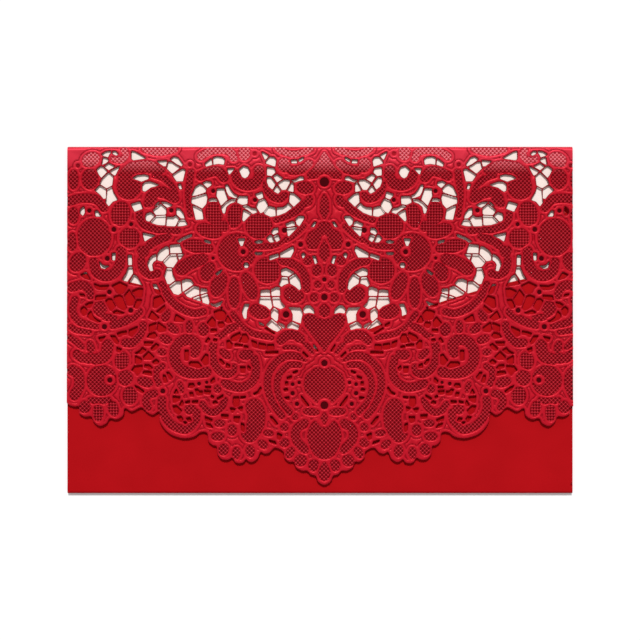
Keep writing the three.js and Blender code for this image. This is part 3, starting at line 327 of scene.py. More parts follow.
# Nets that follow a band, as half width and then the points of its middle line
BAND_NETS = (
    (0.7, 93, 70, 90.6, 71.6, 88.6, 73.6), (0.6, 33.4, 61.4, 30.6, 65.4, 26.2, 68.5, 19.4, 70),
    (1.2, 15.9, 71, 13.8, 69.3, 10.8, 69.1, 8.4, 70.8), (0.5, 8, 71.4, 6, 73.4, 4.6, 75.4),
    (0.3, 14.6, 73.6, 11.2, 73.6, 8.2, 75, 5.4, 77), (0.7, 62.4, 10.4, 59, 11.6, 56.4, 14, 54.2, 17.4),
    (1.2, 93.2, 20.2, 90, 19.2, 86, 19, 82.8, 19.9, 80.6, 22.4), (0.8, 73.4, 1.2, 72.7, 3, 74, 5, 77, 4.7),
    (1.9, 73.6, 14.6, 73, 10.6, 69.4, 7.8, 65, 7.5, 60.6, 8.6),
    (1.6, 64.2, 20.6, 63.6, 18.4, 61.4, 16.9, 58.2, 17, 55, 18.7),
    (0.8, 48.8, 9.4, 49.3, 13, 49.8, 17, 49.5, 21, 48.9, 25),
    (1, 45.2, 3.8, 42.8, 2.2, 40, 1.4, 36.5, 1.4, 34, 2.5, 33.2, 4.2),
    (1.4, 65.4, 0.6, 60.4, 1.7, 55.2, 0.6),
    (1.5, 32.3, 10.6, 31.2, 13, 28.4, 14.2, 25.2, 13.4, 23.8, 11, 24, 8.9),
    (1.3, 45.2, 10.8, 42.4, 9.6, 39, 9.2, 36.8, 11.4),
    (0.8, 21.6, 13.4, 20.8, 16.4, 18.8, 18.6, 16.2, 19.3, 14.6, 18),
    (1.2, 14.4, 7.6, 11.4, 8.9, 8, 8.2, 5.6, 6.6), (0.8, 16.8, 0.9, 14.6, 2.1, 11.6, 2.9, 8.4, 2.4, 5, 1),
    (1.4, 84.2, 42.6, 83.4, 45.8, 80.4, 47.5, 77, 46.6, 74.8, 43.2, 74.4, 38.4),
    (0.8, 67.7, 23.8, 67.5, 26.6, 65.8, 28.9, 62.6, 30.2, 58.6, 30.8, 53.6, 30.9),
    (1, 57.2, 32.9, 61.6, 34.8, 65, 37.4, 66.9, 41, 66.4, 45, 64, 47, 61.2, 46.6),
    (1.9, 52.2, 44.9, 50, 43.4, 46.8, 42, 44.6, 41.4), (0.7, 25.4, 36.7, 20, 36.5, 15.8, 35.3),
    (1, 17.6, 26.6, 14, 25.4, 10.6, 23.8, 7.2, 20.8), (0.6, 7.6, 29.4, 9.8, 31.6, 12.4, 33.4, 15.2, 34.9),
    (1, 15.8, 42, 12.4, 42.7, 8.8, 44.9, 6.8, 48.4, 6.6, 52.2),
    (1.2, 92.2, 51.6, 88.8, 50.8, 86.5, 52, 85.6, 54.4),
    (0.9, 91.2, 56.2, 92, 60, 90.4, 63.6, 86.8, 65.3, 83, 65.6), (0.6, 92.6, 66.2, 90.4, 67.4, 86, 67.9),
    (0.9, 82, 61.4, 79.6, 62.5, 76.8, 63.2), (1.1, 77.4, 65.3, 74, 64.4, 70.6, 62.8, 67.8, 60.6),
    (1.1, 72.8, 71.9, 70, 71.8, 67.6, 69.2, 66.2, 65.6),
    (0.8, 59.4, 50.6, 57.6, 54.4, 55.2, 57.4, 51.8, 59.8, 47.6, 61.2, 44.2, 60.6),
    (1.5, 47.4, 75.4, 47, 72.2, 50, 70.7, 53.6, 72.6, 54.8, 77, 53.2, 81, 49.2, 82.9, 43.2, 82.6),
    (0.9, 37.3, 69, 34.8, 66.9, 32, 65.7),
    (1, 37, 68.8, 39.6, 70.6, 40.8, 74, 40.8, 77.4, 39.4, 81, 36.4, 83.3, 33.8, 82.6, 33.2, 81),
    (1.1, 36.4, 86.8, 33.6, 87.8, 30.4, 88.2, 27.4, 87, 25.5, 84.8, 25, 81, 25.8, 77.6),
    (0.7, 59.2, 80.5, 61.2, 82, 61.4, 84.6, 60.4, 87), (0.9, 62, 90.4, 64.4, 91.2, 65.3, 93.4, 64.4, 95.4),
    (0.9, 15.6, 98.4, 18.6, 94.2, 20.7, 88.7, 20.5, 84, 18.4, 79.9, 14.6, 77, 10.6, 76.7, 7.2, 77.5),
    (0.7, 12.6, 97.4, 15.6, 93.8, 17.3, 89.2, 17, 85, 15, 81.6, 12.2, 79.9, 9.2, 80),
    (1.2, 7.2, 101.4, 9.6, 102.8, 10.6, 105, 10.1, 107.6, 8.6, 109.5, 7.1, 110.8),
    (1.1, 59.3, 92.8, 59.2, 96.7, 56, 101.6, 50.7, 103.6, 47.2, 100.4, 46.8, 97.2),
    (0.8, 44.6, 94.4, 42.8, 96.7, 39.9, 97.2, 37.2, 94.9, 36.5, 92.8),
    (2.8, 25.6, 95.6, 24.8, 98, 25.2, 102, 27.2, 105), (1.4, 90.2, 76.2, 88.2, 77.4, 86.2, 78),
    (1.7, 79.2, 72.8, 80, 76.4, 82.8, 77.8, 86, 77.4), (1.5, 92, 82, 89.9, 83.6, 89.6, 87.6, 91.2, 91),
    (0.8, 85.6, 93, 82, 93.2, 78.6, 93),
)

# Nets on the middle line, by their left half from the top down
AXIS_NETS = (
    (0, 2.4, 1.4, 4.6, 3.4, 7.4, 5.9, 9.8, 5.8, 11.6, 2.6, 11.2, 0, 9.8),
    (0, 17.8, 1.2, 20, 1.3, 24, 0, 26.4),
    (0, 28, 1.4, 28.4, 2.6, 30.4, 5.4, 32, 6.5, 34.4, 5.6, 37, 3.2, 37.2, 1.8, 35.2, 1.4, 32.8, 0, 31.8),
    (0, 34.6, 1.3, 37, 1.4, 40, 0, 42), (0, 57.9, 1.5, 59.4, 1.4, 61.4, 0, 62.2),
    (0, 63.8, 2.6, 63.4, 4.2, 61.9, 6.2, 61.7, 7.4, 63.2, 6.6, 65.8, 4.6, 68.6, 2, 71.6, 0, 74.8),
    (0, 81, 3.2, 81.4, 6.2, 83.6, 7.4, 87.2, 6.4, 90, 4.4, 92, 2.8, 93.6, 1.6, 92.2, 0, 91.8),
    (0, 97.4, 1.1, 99.4, 0, 101.4),
    (0, 103.4, 1.6, 102.8, 3.4, 100.8, 5.2, 102.6, 5.9, 106, 5.2, 110, 3.4, 112.6, 1.6, 113.8, 0, 114),
    (0, 115.8, 1.6, 117.6, 1.9, 119.6, 1.2, 121.4, 0, 122),
)


class PocketSide(Enum):
    """The two glued sides of the pocket, by the way that they face along X."""

    LEFT = -1
    RIGHT = 1


def linear_colour(text: str) -> tuple[float, float, float, float]:
    """Turns an sRGB hex colour into a linear one.

    Args:
        text: Colour as six hex digits after a hash sign.

    Returns:
        Linear red, green, blue and an alpha of 1.
    """
    parts = [int(text[i : i + 2], 16) / 255 for i in (1, 3, 5)]
    red, green, blue = (p / 12.92 if p <= 0.04045 else ((p + 0.055) / 1.055) ** 2.4 for p in parts)
    return red, green, blue, 1.0


def add_node(
    tree: bpy.types.NodeTree,
    kind: str,
    values: dict[str | int, object] | None = None,
    links: dict[str | int, bpy.types.NodeSocket] | None = None,
    **settings: object,
) -> bpy.types.Node:
    """Adds one node to a tree.

    Args:
        tree: Tree that gets the node.
        kind: The node's type.
        values: Constant for each named or numbered input.
        links: Output that feeds each named or numbered input.
        **settings: Properties of the node itself.

    Returns:
        The new node.
    """
    node = tree.nodes.new(kind)
    for name, value in settings.items():
        setattr(node, name, value)
    for socket, value in (values or {}).items():
        node.inputs[socket].default_value = value
    for socket, source in (links or {}).items():
        tree.links.new(source, node.inputs[socket])
    return node


def add_math(
    tree: bpy.types.NodeTree,
    operation: str,
    first: bpy.types.NodeSocket,
    second: bpy.types.NodeSocket | float = 0.0,
) -> bpy.types.NodeSocket:
    """Adds a sum to a tree.

    Args:
        tree: Tree that gets the node.
        operation: What the node works out.
        first: Output that feeds the first input.
        second: Output or number for the second input.

    Returns:
        The result.
    """
    if isinstance(second, float):
        node = add_node(tree, "ShaderNodeMath", {1: second}, {0: first}, operation=operation)
    else:
        node = add_node(tree, "ShaderNodeMath", links={0: first, 1: second}, operation=operation)
    return node.outputs[0]


def add_ramp(
    tree: bpy.types.NodeTree,
    value: bpy.types.NodeSocket,
    span: tuple[float, float],
    low: float = 0.0,
    high: float = 1.0,
    easing: str = "SMOOTHSTEP",
) -> bpy.types.NodeSocket:
    """Adds a ramp between two results to a tree.

    Args:
        tree: Tree that gets the node.
        value: Output that runs along the ramp.
        span: Values at which the ramp starts and ends.
        low: Result at the start.
        high: Result at the end.
        easing: How the result runs from one to the other.

    Returns:
        The result.
    """
    ends = {"From Min": span[0], "From Max": span[1], "To Min": low, "To Max": high}
    ramp = add_node(tree, "ShaderNodeMapRange", ends, {"Value": value}, interpolation_type=easing)
    return ramp.outputs[0]


def smooth_step(value: np.ndarray) -> np.ndarray:
    """Eases a share from 0 to 1 with no slope at either end."""
    share = np.clip(value, 0, 1)
    return share * share * (3 - 2 * share)


@dataclass(frozen=True)
class CardFinish:
    """Dyed card stock with its grain. Sizes are in millimetres."""

    name: str
    colour: str
    shade_colour: str
    roughness: float
    grain: float
    grain_depth: float
    cloud: float = 9.0
    sheen_level: float = 0.1
    metallic: float = 0.0
    fold_highlight_colour: str = ""
    scorch_and_shade_colour: str = ""

    def make(self) -> bpy.types.Material:
        """Builds the material.

        Returns:
            A material whose grain reads Object coordinates, and whose pressed lines with their painted
            shade and cut edges darkened by scorch and painted shade read the lace's own distances.
        """
        material = bpy.data.materials.new(self.name)
        material.use_nodes = True
        tree = material.node_tree
        tree.nodes.clear()
        place = add_node(tree, "ShaderNodeTexCoord").outputs["Object"]
        fine = {"Scale": 1 / (self.grain * MM), "Detail": GRAIN_DETAIL}
        grain = add_node(tree, "ShaderNodeTexNoise", fine, {"Vector": place}).outputs[0]
        coarse = {"Scale": 1 / (self.cloud * MM), "Detail": CLOUD_DETAIL}
        cloud = add_node(tree, "ShaderNodeTexNoise", coarse, {"Vector": place}).outputs[0]
        both = add_math(tree, "ADD", grain, cloud)
        colour = add_node(
            tree,
            "ShaderNodeMix",
            {6: linear_colour(self.shade_colour), 7: linear_colour(self.colour)},
            {0: add_ramp(tree, both, SHADE_SPAN, easing="LINEAR")},
            data_type="RGBA",
        )
        tint = colour.outputs[2]
        normal = add_node(
            tree,
            "ShaderNodeBump",
            {"Strength": GRAIN_STRENGTH, "Distance": self.grain_depth * MM},
            {"Height": grain},
        ).outputs[0]
        # Painted highlight beside the top fold
        if self.fold_highlight_colour:
            tint = self.painted_fold_highlight(tree, place, tint)
        # Painted shade in the pressed lines, and scorch with painted shade at the cut edges
        if self.scorch_and_shade_colour:
            tint, normal = self.pressed(tree, place, tint, normal)
        shader = add_node(
            tree,
            "ShaderNodeBsdfPrincipled",
            {
                "Roughness": self.roughness,
                "Metallic": self.metallic,
                "Specular IOR Level": self.sheen_level,
            },
            {"Base Color": tint, "Normal": normal},
        )
        add_node(tree, "ShaderNodeOutputMaterial", links={"Surface": shader.outputs[0]})
        return material

    def blended(
        self,
        tree: bpy.types.NodeTree,
        share: bpy.types.NodeSocket,
        tint: bpy.types.NodeSocket,
        other: str,
    ) -> bpy.types.NodeSocket:
        """Mixes another colour over a colour.

        Args:
            tree: The material's tree.
            share: How much of the other colour shows.
            tint: The colour so far.
            other: The other colour, as sRGB hex.

        Returns:
            The mixed colour.
        """
        values = {7: linear_colour(other)}
        mix = add_node(tree, "ShaderNodeMix", values, {0: share, 6: tint}, data_type="RGBA")
        return mix.outputs[2]

    def painted_fold_highlight(
        self, tree: bpy.types.NodeTree, place: bpy.types.NodeSocket, tint: bpy.types.NodeSocket
    ) -> bpy.types.NodeSocket:
        """Paints a highlight beside the top fold, where the curving flap catches the lamp.

        Args:
            tree: The material's tree.
            place: Object coordinates.
            tint: The colour so far.

        Returns:
            The paler colour.
        """
        up = add_node(tree, "ShaderNodeSeparateXYZ", links={0: place}).outputs[1]
        span = (FOLD_HIGHLIGHT_SPAN[0] * MM, FOLD_HIGHLIGHT_SPAN[1] * MM)
        share = add_ramp(tree, up, span, high=FOLD_HIGHLIGHT_SHARE)
        return self.blended(tree, share, tint, self.fold_highlight_colour)

    def pressed(
        self,
        tree: bpy.types.NodeTree,
        place: bpy.types.NodeSocket,
        tint: bpy.types.NodeSocket,
        normal: bpy.types.NodeSocket,
    ) -> tuple[bpy.types.NodeSocket, bpy.types.NodeSocket]:
        """Adds the line that the tool presses beside each tape, darkened as painted shade, and darkens the
        cut edges as scorch from the cutter and painted shade, less on the lower half.

        Args:
            tree: The material's tree.
            place: Object coordinates.
            tint: The colour so far.
            normal: The normal so far.

        Returns:
            The colour and the normal.
        """
        edge = add_node(tree, "ShaderNodeAttribute", attribute_name="edge_distance").outputs["Fac"]
        cut = add_node(tree, "ShaderNodeAttribute", attribute_name="cut_distance").outputs["Fac"]
        away = add_math(tree, "ABSOLUTE", add_math(tree, "SUBTRACT", edge, TAPE_WIDTH))
        groove = add_ramp(tree, away, LINE_SPAN, 1.0, 0.0)
        scorch_and_shade = add_ramp(tree, cut, SCORCH_AND_SHADE_SPAN, SCORCH_AND_SHADE_SHARE, 0.0)
        up = add_node(tree, "ShaderNodeSeparateXYZ", links={0: place}).outputs[1]
        shade_fade = add_ramp(tree, up, (SCORCH_AND_SHADE_RISE[0] * MM, SCORCH_AND_SHADE_RISE[1] * MM), SCORCH_AND_SHADE_LOW_SHARE)
        tint = self.blended(tree, add_math(tree, "MULTIPLY", groove, CREASE_SHADE_SHARE), tint, self.scorch_and_shade_colour)
        tint = self.blended(tree, add_math(tree, "MULTIPLY", scorch_and_shade, shade_fade), tint, self.scorch_and_shade_colour)
        bump = add_node(
            tree,
            "ShaderNodeBump",
            {"Strength": 1.0, "Distance": LINE_DEPTH * MM},
            {"Height": groove, "Normal": normal},
            invert=True,
        )
        return tint, bump.outputs[0]


# Pearl card under the embossing tool: dyed red, with a faint pearl that lights each ridge in a paler red.
# Its fold colour is a painted highlight, and its darker colour paints shade in the creases and scorch with
# painted shade at the cut edges.
EMBOSSED_CARD = CardFinish(
    "embossed_pearl_card", "#C71529", "#B91023", roughness=0.4, grain=0.3, grain_depth=0.012,
    sheen_level=0.1, metallic=0.15, fold_highlight_colour="#DA3044", scorch_and_shade_colour="#860818",
)
# The same card left smooth, painted a deeper red than the embossed copy as painted shade, where nothing
# lifts it into the light
SMOOTH_SHADED_CARD = CardFinish(
    "smooth_pearl_card_painted_shade", "#B60E16", "#AC0C13", roughness=0.6, grain=0.35, grain_depth=0.008,
    cloud=14.0, sheen_level=0.03,
)
# Floor of the embossed pits, painted nearly maroon as painted shade in the pits, and paler beside the fold
# as a painted highlight
PIT_SHADE_CARD = CardFinish(
    "pit_card_painted_shade", "#74060F", "#60040B", roughness=0.6, grain=0.25, grain_depth=0.01,
    sheen_level=0.02, fold_highlight_colour="#B82C3A",
)
# Floor of the blind eyelets, painted darker still as painted shade in the eyelets, though hardly at all
# beside the fold, where a painted highlight shows
EYELET_SHADE_CARD = CardFinish(
    "eyelet_card_painted_shade", "#4E030A", "#3E0207", roughness=0.65, grain=0.25, grain_depth=0.01,
    sheen_level=0.03, fold_highlight_colour="#B01A28",
)
# Threads of the net, between the pits: they catch the light, and are painted pink beside the fold as a
# painted highlight
THREAD_CARD = CardFinish(
    "pressed_thread_card", "#C4202F", "#B4182A", roughness=0.45, grain=0.3, grain_depth=0.008,
    sheen_level=0.2, metallic=0.12, fold_highlight_colour="#FF8690",
)
# Uncoated cream card, matt, with a soft felt mark, tinged pink as painted bounce light from the red lace
CREAM_CARD_BOUNCE_TINT = CardFinish(
    "cream_felt_card_bounce_tint", "#FFF2EA", "#FBE9E0", roughness=0.85, grain=0.5, grain_depth=0.02, cloud=22.0
)


def polygon_distance(across: np.ndarray, down: np.ndarray, outline: np.ndarray) -> np.ndarray:
    """Measures how far points lie from a closed outline.

    Args:
        across: Points across the lace.
        down: Points down the lace.
        outline: Corners of the outline, one row each.

    Returns:
        Distance, negative inside.
    """
    closed = np.vstack([outline, outline[:1]])
    inside = np.zeros(across.shape, bool)
    for start, end in zip(closed[:-1], closed[1:]):
        if start[1] != end[1]:
            spans = (start[1] > down) != (end[1] > down)
            cross = start[0] + (down - start[1]) * (end[0] - start[0]) / (end[1] - start[1])
            inside ^= spans & (across < cross)
    best = line_distance(across, down, closed)
    return np.where(inside, -best, best)


def line_distance(across: np.ndarray, down: np.ndarray, line: np.ndarray) -> np.ndarray:
    """Measures how far points lie from an open line.

    Args:
        across: Points across the lace.
        down: Points down the lace.
        line: Points along the line, one row each.

    Returns:
        Distance to the nearest stretch.
    """
    best = np.full(across.shape, np.inf)
    for start, end in zip(line[:-1], line[1:]):
        best = np.minimum(best, segment_distance(across, down, start, end))
    return best


def segment_distance(
    across: np.ndarray, down: np.ndarray, start: np.ndarray, end: np.ndarray
) -> np.ndarray:
    """Measures how far points lie from one straight stretch.

    Args:
        across: Points across the lace.
        down: Points down the lace.
        start: First end of the stretch.
        end: Other end of the stretch.

    Returns:
        Distance to the nearest point of the stretch.
    """
    run = end - start
    length = max(float(run @ run), 1e-9)
    share = np.clip(((across - start[0]) * run[0] + (down - start[1]) * run[1]) / length, 0, 1)
    return np.hypot(across - start[0] - share * run[0], down - start[1] - share * run[1])


def pairs(row: tuple[float, ...]) -> np.ndarray:
    """Splits a run of numbers into rows of across and down, left of the middle line."""
    return np.array(row, float).reshape(-1, 2) * (-1, 1)


def flowing(points: np.ndarray, steps: int) -> np.ndarray:
    """Rounds an open line through its points.

    Args:
        points: Points that the line passes through.
        steps: Stretches between two points.

    Returns:
        Points along the rounded line.
    """
    padded = np.vstack([2 * points[0] - points[1], points, 2 * points[-1] - points[-2]])
    line = [points[0]]
    for i in range(len(points) - 1):
        before, start, end, after = padded[i : i + 4]
        for step in range(1, steps + 1):
            t = step / steps
            line.append(
                0.5
                * (
                    2 * start
                    + (end - before) * t
                    + (2 * before - 5 * start + 4 * end - after) * t**2
                    + (3 * start - 3 * end + after - before) * t**3
                )
            )
    return np.array(line)


def oval(row: tuple[float, ...], corners: int) -> np.ndarray:
    """Outlines an oval, left of the middle line.

    Args:
        row: Distance to the left, down, half width, half height and turn in degrees.
        corners: Corners of the outline.

    Returns:
        Corners of the outline, one row each.
    """
    left, middle_down, half_wide, half_high, turn = row
    angle = math.radians(turn)
    t = np.linspace(0, 2 * math.pi, corners, endpoint=False)
    wide = half_wide * np.cos(t)
    high = half_high * np.sin(t)
    return np.column_stack(
        [
            -left + wide * math.cos(angle) - high * math.sin(angle),
            middle_down + wide * math.sin(angle) + high * math.cos(angle),
        ]
    )


@dataclass
class FoldedFlap:
    """Where the lace lies: round the top fold and down over the pocket. Sizes are in millimetres."""

    bend_radius: float = TOP_BEND
    reach: float = 125.9
    tip_rise: float = 1.5
    rise_power: float = 1.5
    middle: float = 1.6

    def bent(self, along: np.ndarray) -> tuple[np.ndarray, np.ndarray]:
        """Splits a distance along the sheet into a turn round the fold and a run beyond it."""
        angle = np.clip(along / self.bend_radius, 0, math.pi / 2)
        return angle, np.maximum(along - self.bend_radius * math.pi / 2, 0)

    def down_at(self, along: np.ndarray) -> np.ndarray:
        """Gives the distance down the page for a distance along the sheet."""
        angle, run = self.bent(along)
        return self.bend_radius * (1 - np.cos(angle)) + run

    def place(self, across: np.ndarray, along: np.ndarray, lift: np.ndarray) -> np.ndarray:
        """Puts points of the flat sheet where the folded flap holds them.

        Args:
            across: Distance from the lace's middle.
            along: Distance along the sheet from the fold.
            lift: Height over the sheet's under face.

        Returns:
            Points in metres, one row each.
        """
        angle, run = self.bent(along)
        reach = self.bend_radius - CARD_THICKNESS + lift
        left = np.clip(1 - run / self.reach, 0, 1)
        rise = self.tip_rise * (1 - left**self.rise_power)
        down = FOLD_LINE - self.bend_radius + reach * np.cos(angle) - run
        high = self.bend_radius + reach * np.sin(angle) + rise
        return np.column_stack([across + self.middle, down, high]) * MM

    def unfold(self, points: np.ndarray) -> tuple[np.ndarray, np.ndarray]:
        """Finds where points of the folded flap lie on the flat sheet.

        Args:
            points: Points in metres, one row each.

        Returns:
            Distances from the lace's middle and along the sheet from the fold.
        """
        past = points[:, 1] / MM - (FOLD_LINE - self.bend_radius)
        quarter = self.bend_radius * math.pi / 2
        round_fold = self.bend_radius * np.arccos(np.clip(past / self.bend_radius, 0, 1))
        along = np.where(past > 0, round_fold, quarter - past)
        return points[:, 0] / MM - self.middle, along


@dataclass
class LaceDrawing:
    """The lace's outlines as distances on a fine grid of the flat sheet. Sizes are in millimetres."""

    flap: FoldedFlap
    pitch: float = 0.34
    margin: float = 2.6
    ring: float = 1.3
    net_margin: float = 0.8
    net_grow: float = 0.35
    net_gap: float = 0.9
    cut_grow: float = 0.2
    bar: float = 0.5
    ring_corners: int = 20
    oval_corners: int = 28
    band_steps: int = 4
    scallop_steps: int = 5

    def __post_init__(self) -> None:
        """Lays the grid over the left half and measures every outline on it, then mirrors it."""
        left = HALF_COVER + self.flap.middle
        columns = int(left / self.pitch) + 2
        rows = int((self.flap.reach + 1) / self.pitch) + 1
        self.half_across = -self.pitch * np.arange(columns)[::-1]
        self.half_along = self.pitch * np.arange(rows)
        half_down = self.flap.down_at(self.half_along)
        self.across_grid, self.down_grid = np.meshgrid(self.half_across, half_down)
        cuts = self.two_nearest(self.polygons([pairs(row) for row in OPENINGS]))
        cut = self.grown(*cuts, self.cut_grow, self.bar)
        rings = [oval((a, d, r, r, 0), self.ring_corners) for a, d, r in EYELETS + AXIS_EYELETS]
        eyelets = self.two_nearest(self.polygons(rings))[0]
        slanted = [oval(row, self.oval_corners) for row in OVAL_NETS]
        slanted += [self.axis_outline(row) for row in AXIS_NETS]
        slant, slant_next = self.two_nearest(chain(self.polygons(slanted), self.bands()))
        upright = [oval(row, self.oval_corners) for row in STRAIGHT_NETS]
        straight, straight_next = self.two_nearest(self.polygons(upright))
        following = np.minimum(np.maximum(slant, straight), np.minimum(slant_next, straight_next))
        net = self.grown(np.minimum(slant, straight), following, self.net_grow, self.net_gap)
        net = np.maximum(net, np.maximum(self.net_margin - cut, self.ring - eyelets))
        self.cut = self.mirrored(cut)
        self.eyelets = self.mirrored(eyelets)
        self.net = self.mirrored(net)
        self.straight_net = self.mirrored(np.maximum(net, straight - slant))
        self.slant_net = self.mirrored(np.maximum(net, slant - straight))
        self.scallops = self.mirrored(self.scalloped())
        self.across = np.concatenate([self.half_across, -self.half_across[-2::-1]])
        right = HALF_COVER - self.flap.middle
        self.sheet = np.minimum(self.scallops, np.minimum(self.across + left, right - self.across))
        self.edge = np.minimum(np.minimum(self.cut, self.net), np.minimum(self.eyelets, self.scallops))

    def read(self, field: np.ndarray, across: np.ndarray, along: np.ndarray) -> np.ndarray:
        """Reads a field between its grid points.

        Args:
            field: Values on the whole grid.
            across: Distances from the lace's middle.
            along: Distances along the sheet from the fold.

        Returns:
            The values there.
        """
        past_last = 1.001
        row = np.clip(along / self.pitch, 0, field.shape[0] - past_last)
        column = np.clip((across - self.across[0]) / self.pitch, 0, field.shape[1] - past_last)
        i, j = row.astype(int), column.astype(int)
        a, b = row - i, column - j
        upper = field[i, j] * (1 - b) + field[i, j + 1] * b
        lower = field[i + 1, j] * (1 - b) + field[i + 1, j + 1] * b
        return upper * (1 - a) + lower * a

    def places(self, cut: Trimmed) -> tuple[np.ndarray, np.ndarray]:
        """Gives the distances across and along the sheet at a trimmed grid's vertices."""
        shape = self.cut.shape
        across = cut.sample(np.broadcast_to(self.across, shape))
        along = cut.sample(np.broadcast_to(self.half_along[:, None], shape))
        return across, along

    def mirrored(self, half: np.ndarray) -> np.ndarray:
        """Adds the right half to a field of the left half."""
        return np.concatenate([half, half[:, -2::-1]], axis=1)

    def axis_outline(self, row: tuple[float, ...]) -> np.ndarray:
        """Closes a left half outline with its mirror image."""
        left = pairs(row)
        return np.vstack([left, left[-2:0:-1] * (-1, 1)])

    def window(self, low: np.ndarray, high: np.ndarray) -> tuple[np.ndarray, np.ndarray]:
        """Picks the part of the half grid within the margin of a box.

        Args:
            low: Least across and down of the box.
            high: Greatest across and down of the box.

        Returns:
            Rows and columns of that part, ready to index a field.
        """
        low, high = low - self.margin, high + self.margin
        columns = np.flatnonzero((self.half_across > low[0]) & (self.half_across < high[0]))
        rows = np.flatnonzero((self.down_grid[:, 0] > low[1]) & (self.down_grid[:, 0] < high[1]))
        return np.ix_(rows, columns)

    def polygons(self, outlines: list[np.ndarray]) -> Iterator[tuple[tuple, np.ndarray]]:
        """Measures each of several closed outlines.

        Args:
            outlines: Closed outlines.

        Yields:
            The part of the half grid round an outline and its distances there, negative inside.
        """
        for outline in outlines:
            part = self.window(outline.min(0), outline.max(0))
            yield part, polygon_distance(self.across_grid[part], self.down_grid[part], outline)

    def bands(self) -> Iterator[tuple[tuple, np.ndarray]]:
        """Measures each band of net.

        Yields:
            The part of the half grid round a band and its distances there, negative inside.
        """
        for row in BAND_NETS:
            line = flowing(pairs(row[1:]), self.band_steps)
            part = self.window(line.min(0) - row[0], line.max(0) + row[0])
            away = line_distance(self.across_grid[part], self.down_grid[part], line)
            yield part, np.minimum(self.margin, away - row[0])

    def two_nearest(
        self, readings: Iterable[tuple[tuple, np.ndarray]]
    ) -> tuple[np.ndarray, np.ndarray]:
        """Keeps the distances to the nearest outline and to the one after it.

        Args:
            readings: Parts of the half grid with an outline's distances there.

        Returns:
            Both distances over the half grid, and no more than the margin.
        """
        near = np.full(self.across_grid.shape, self.margin)
        following = near.copy()
        for part, found in readings:
            following[part] = np.minimum(following[part], np.maximum(near[part], found))
            near[part] = np.minimum(near[part], found)
        return near, following

    def grown(self, near: np.ndarray, following: np.ndarray, growth: float, gap: float) -> np.ndarray:
        """Grows outlines, but leaves a gap where two of them would meet.

        Args:
            near: Distance to the nearest outline.
            following: Distance to the one after it.
            growth: How far each outline grows.
            gap: Width that stays between two outlines.

        Returns:
            Distance to the grown outlines.
        """
        return np.maximum(near - growth, np.minimum(gap - following + near, near))

    def scalloped(self) -> np.ndarray:
        """Measures the distance to the scalloped free edge.

        Returns:
            Distance over the half grid, positive on the sheet's side.
        """
        edge = flowing(pairs(SCALLOPED_EDGE), self.scallop_steps)
        past_middle, past_side, past_fold = 5.0, -150.0, -50.0
        corners = [
            [past_middle, edge[-1][1]],
            [past_middle, past_fold],
            [past_side, past_fold],
            [past_side, edge[0][1]],
        ]
        closed = np.vstack([edge, corners])
        inside = polygon_distance(self.across_grid, self.down_grid, closed) < 0
        best = line_distance(self.across_grid, self.down_grid, edge)
        return np.where(inside, best, -best)


@dataclass
class Trimmed:
    """Triangles of a grid, trimmed where a field falls to zero.

    Each vertex lies between two grid points, at a share of the way from the first to the second.
    """

    first: np.ndarray
    second: np.ndarray
    share: np.ndarray
    triangles: np.ndarray

    def sample(self, field: np.ndarray) -> np.ndarray:
        """Reads a grid field at the vertices."""
        flat = field.ravel()
        return flat[self.first] * (1 - self.share) + flat[self.second] * self.share


def trim(field: np.ndarray) -> Trimmed:
    """Cuts a grid's triangles along the line where a field is zero.

    Args:
        field: Values on the grid, positive where the sheet is.

    Returns:
        The triangles on the positive side, facing up.
    """
    rows, columns = field.shape
    index = np.arange(rows * columns).reshape(rows, columns)
    high_left, high_right = index[:-1, :-1], index[:-1, 1:]
    low_left, low_right = index[1:, :-1], index[1:, 1:]
    even = (np.add.outer(np.arange(rows - 1), np.arange(columns - 1)) % 2) == 0
    slant = [(high_left, low_left, low_right), (high_left, low_right, high_right)]
    other = [(high_left, low_left, high_right), (low_left, low_right, high_right)]
    parts = [np.column_stack([corner[even] for corner in three]) for three in slant]
    parts += [np.column_stack([corner[~even] for corner in three]) for three in other]
    triangles = np.vstack(parts)
    flat = field.ravel()
    inside = flat[triangles] > 0
    count = inside.sum(1)

    def turned(chosen: np.ndarray, lead: np.ndarray) -> list[np.ndarray]:
        """Turns each triangle so that its leading corner comes first."""
        every = np.arange(len(chosen))
        return [chosen[every, (lead + k) % 3] for k in range(3)]

    tip, tip_b, tip_c = turned(triangles[count == 1], inside[count == 1].argmax(1))
    off, keep_b, keep_c = turned(triangles[count == 2], inside[count == 2].argmin(1))
    crossings = np.vstack(
        [
            np.column_stack([tip, tip_b]),
            np.column_stack([tip, tip_c]),
            np.column_stack([keep_b, off]),
            np.column_stack([keep_c, off]),
        ]
    )
    crossings = np.sort(crossings, axis=1)
    unique, slot = np.unique(crossings, axis=0, return_inverse=True)
    slot = slot.ravel() + rows * columns
    tips, keeps = len(tip), len(off)
    to_b, to_c = slot[:tips], slot[tips : 2 * tips]
    from_b, from_c = slot[2 * tips : 2 * tips + keeps], slot[2 * tips + keeps :]
    pieces = [
        triangles[count == 3],
        np.column_stack([tip, to_b, to_c]),
        np.column_stack([from_b, keep_b, keep_c]),
        np.column_stack([from_b, keep_c, from_c]),
    ]
    joined = np.vstack(pieces)
    used, joined = np.unique(joined, return_inverse=True)
    values = flat[unique]
    shares = values[:, 0] / (values[:, 0] - values[:, 1])
    first = np.concatenate([index.ravel(), unique[:, 0]])[used]
    second = np.concatenate([index.ravel(), unique[:, 1]])[used]
    share = np.concatenate([np.zeros(rows * columns), shares])[used]
    return Trimmed(first, second, share, joined.reshape(-1, 3))


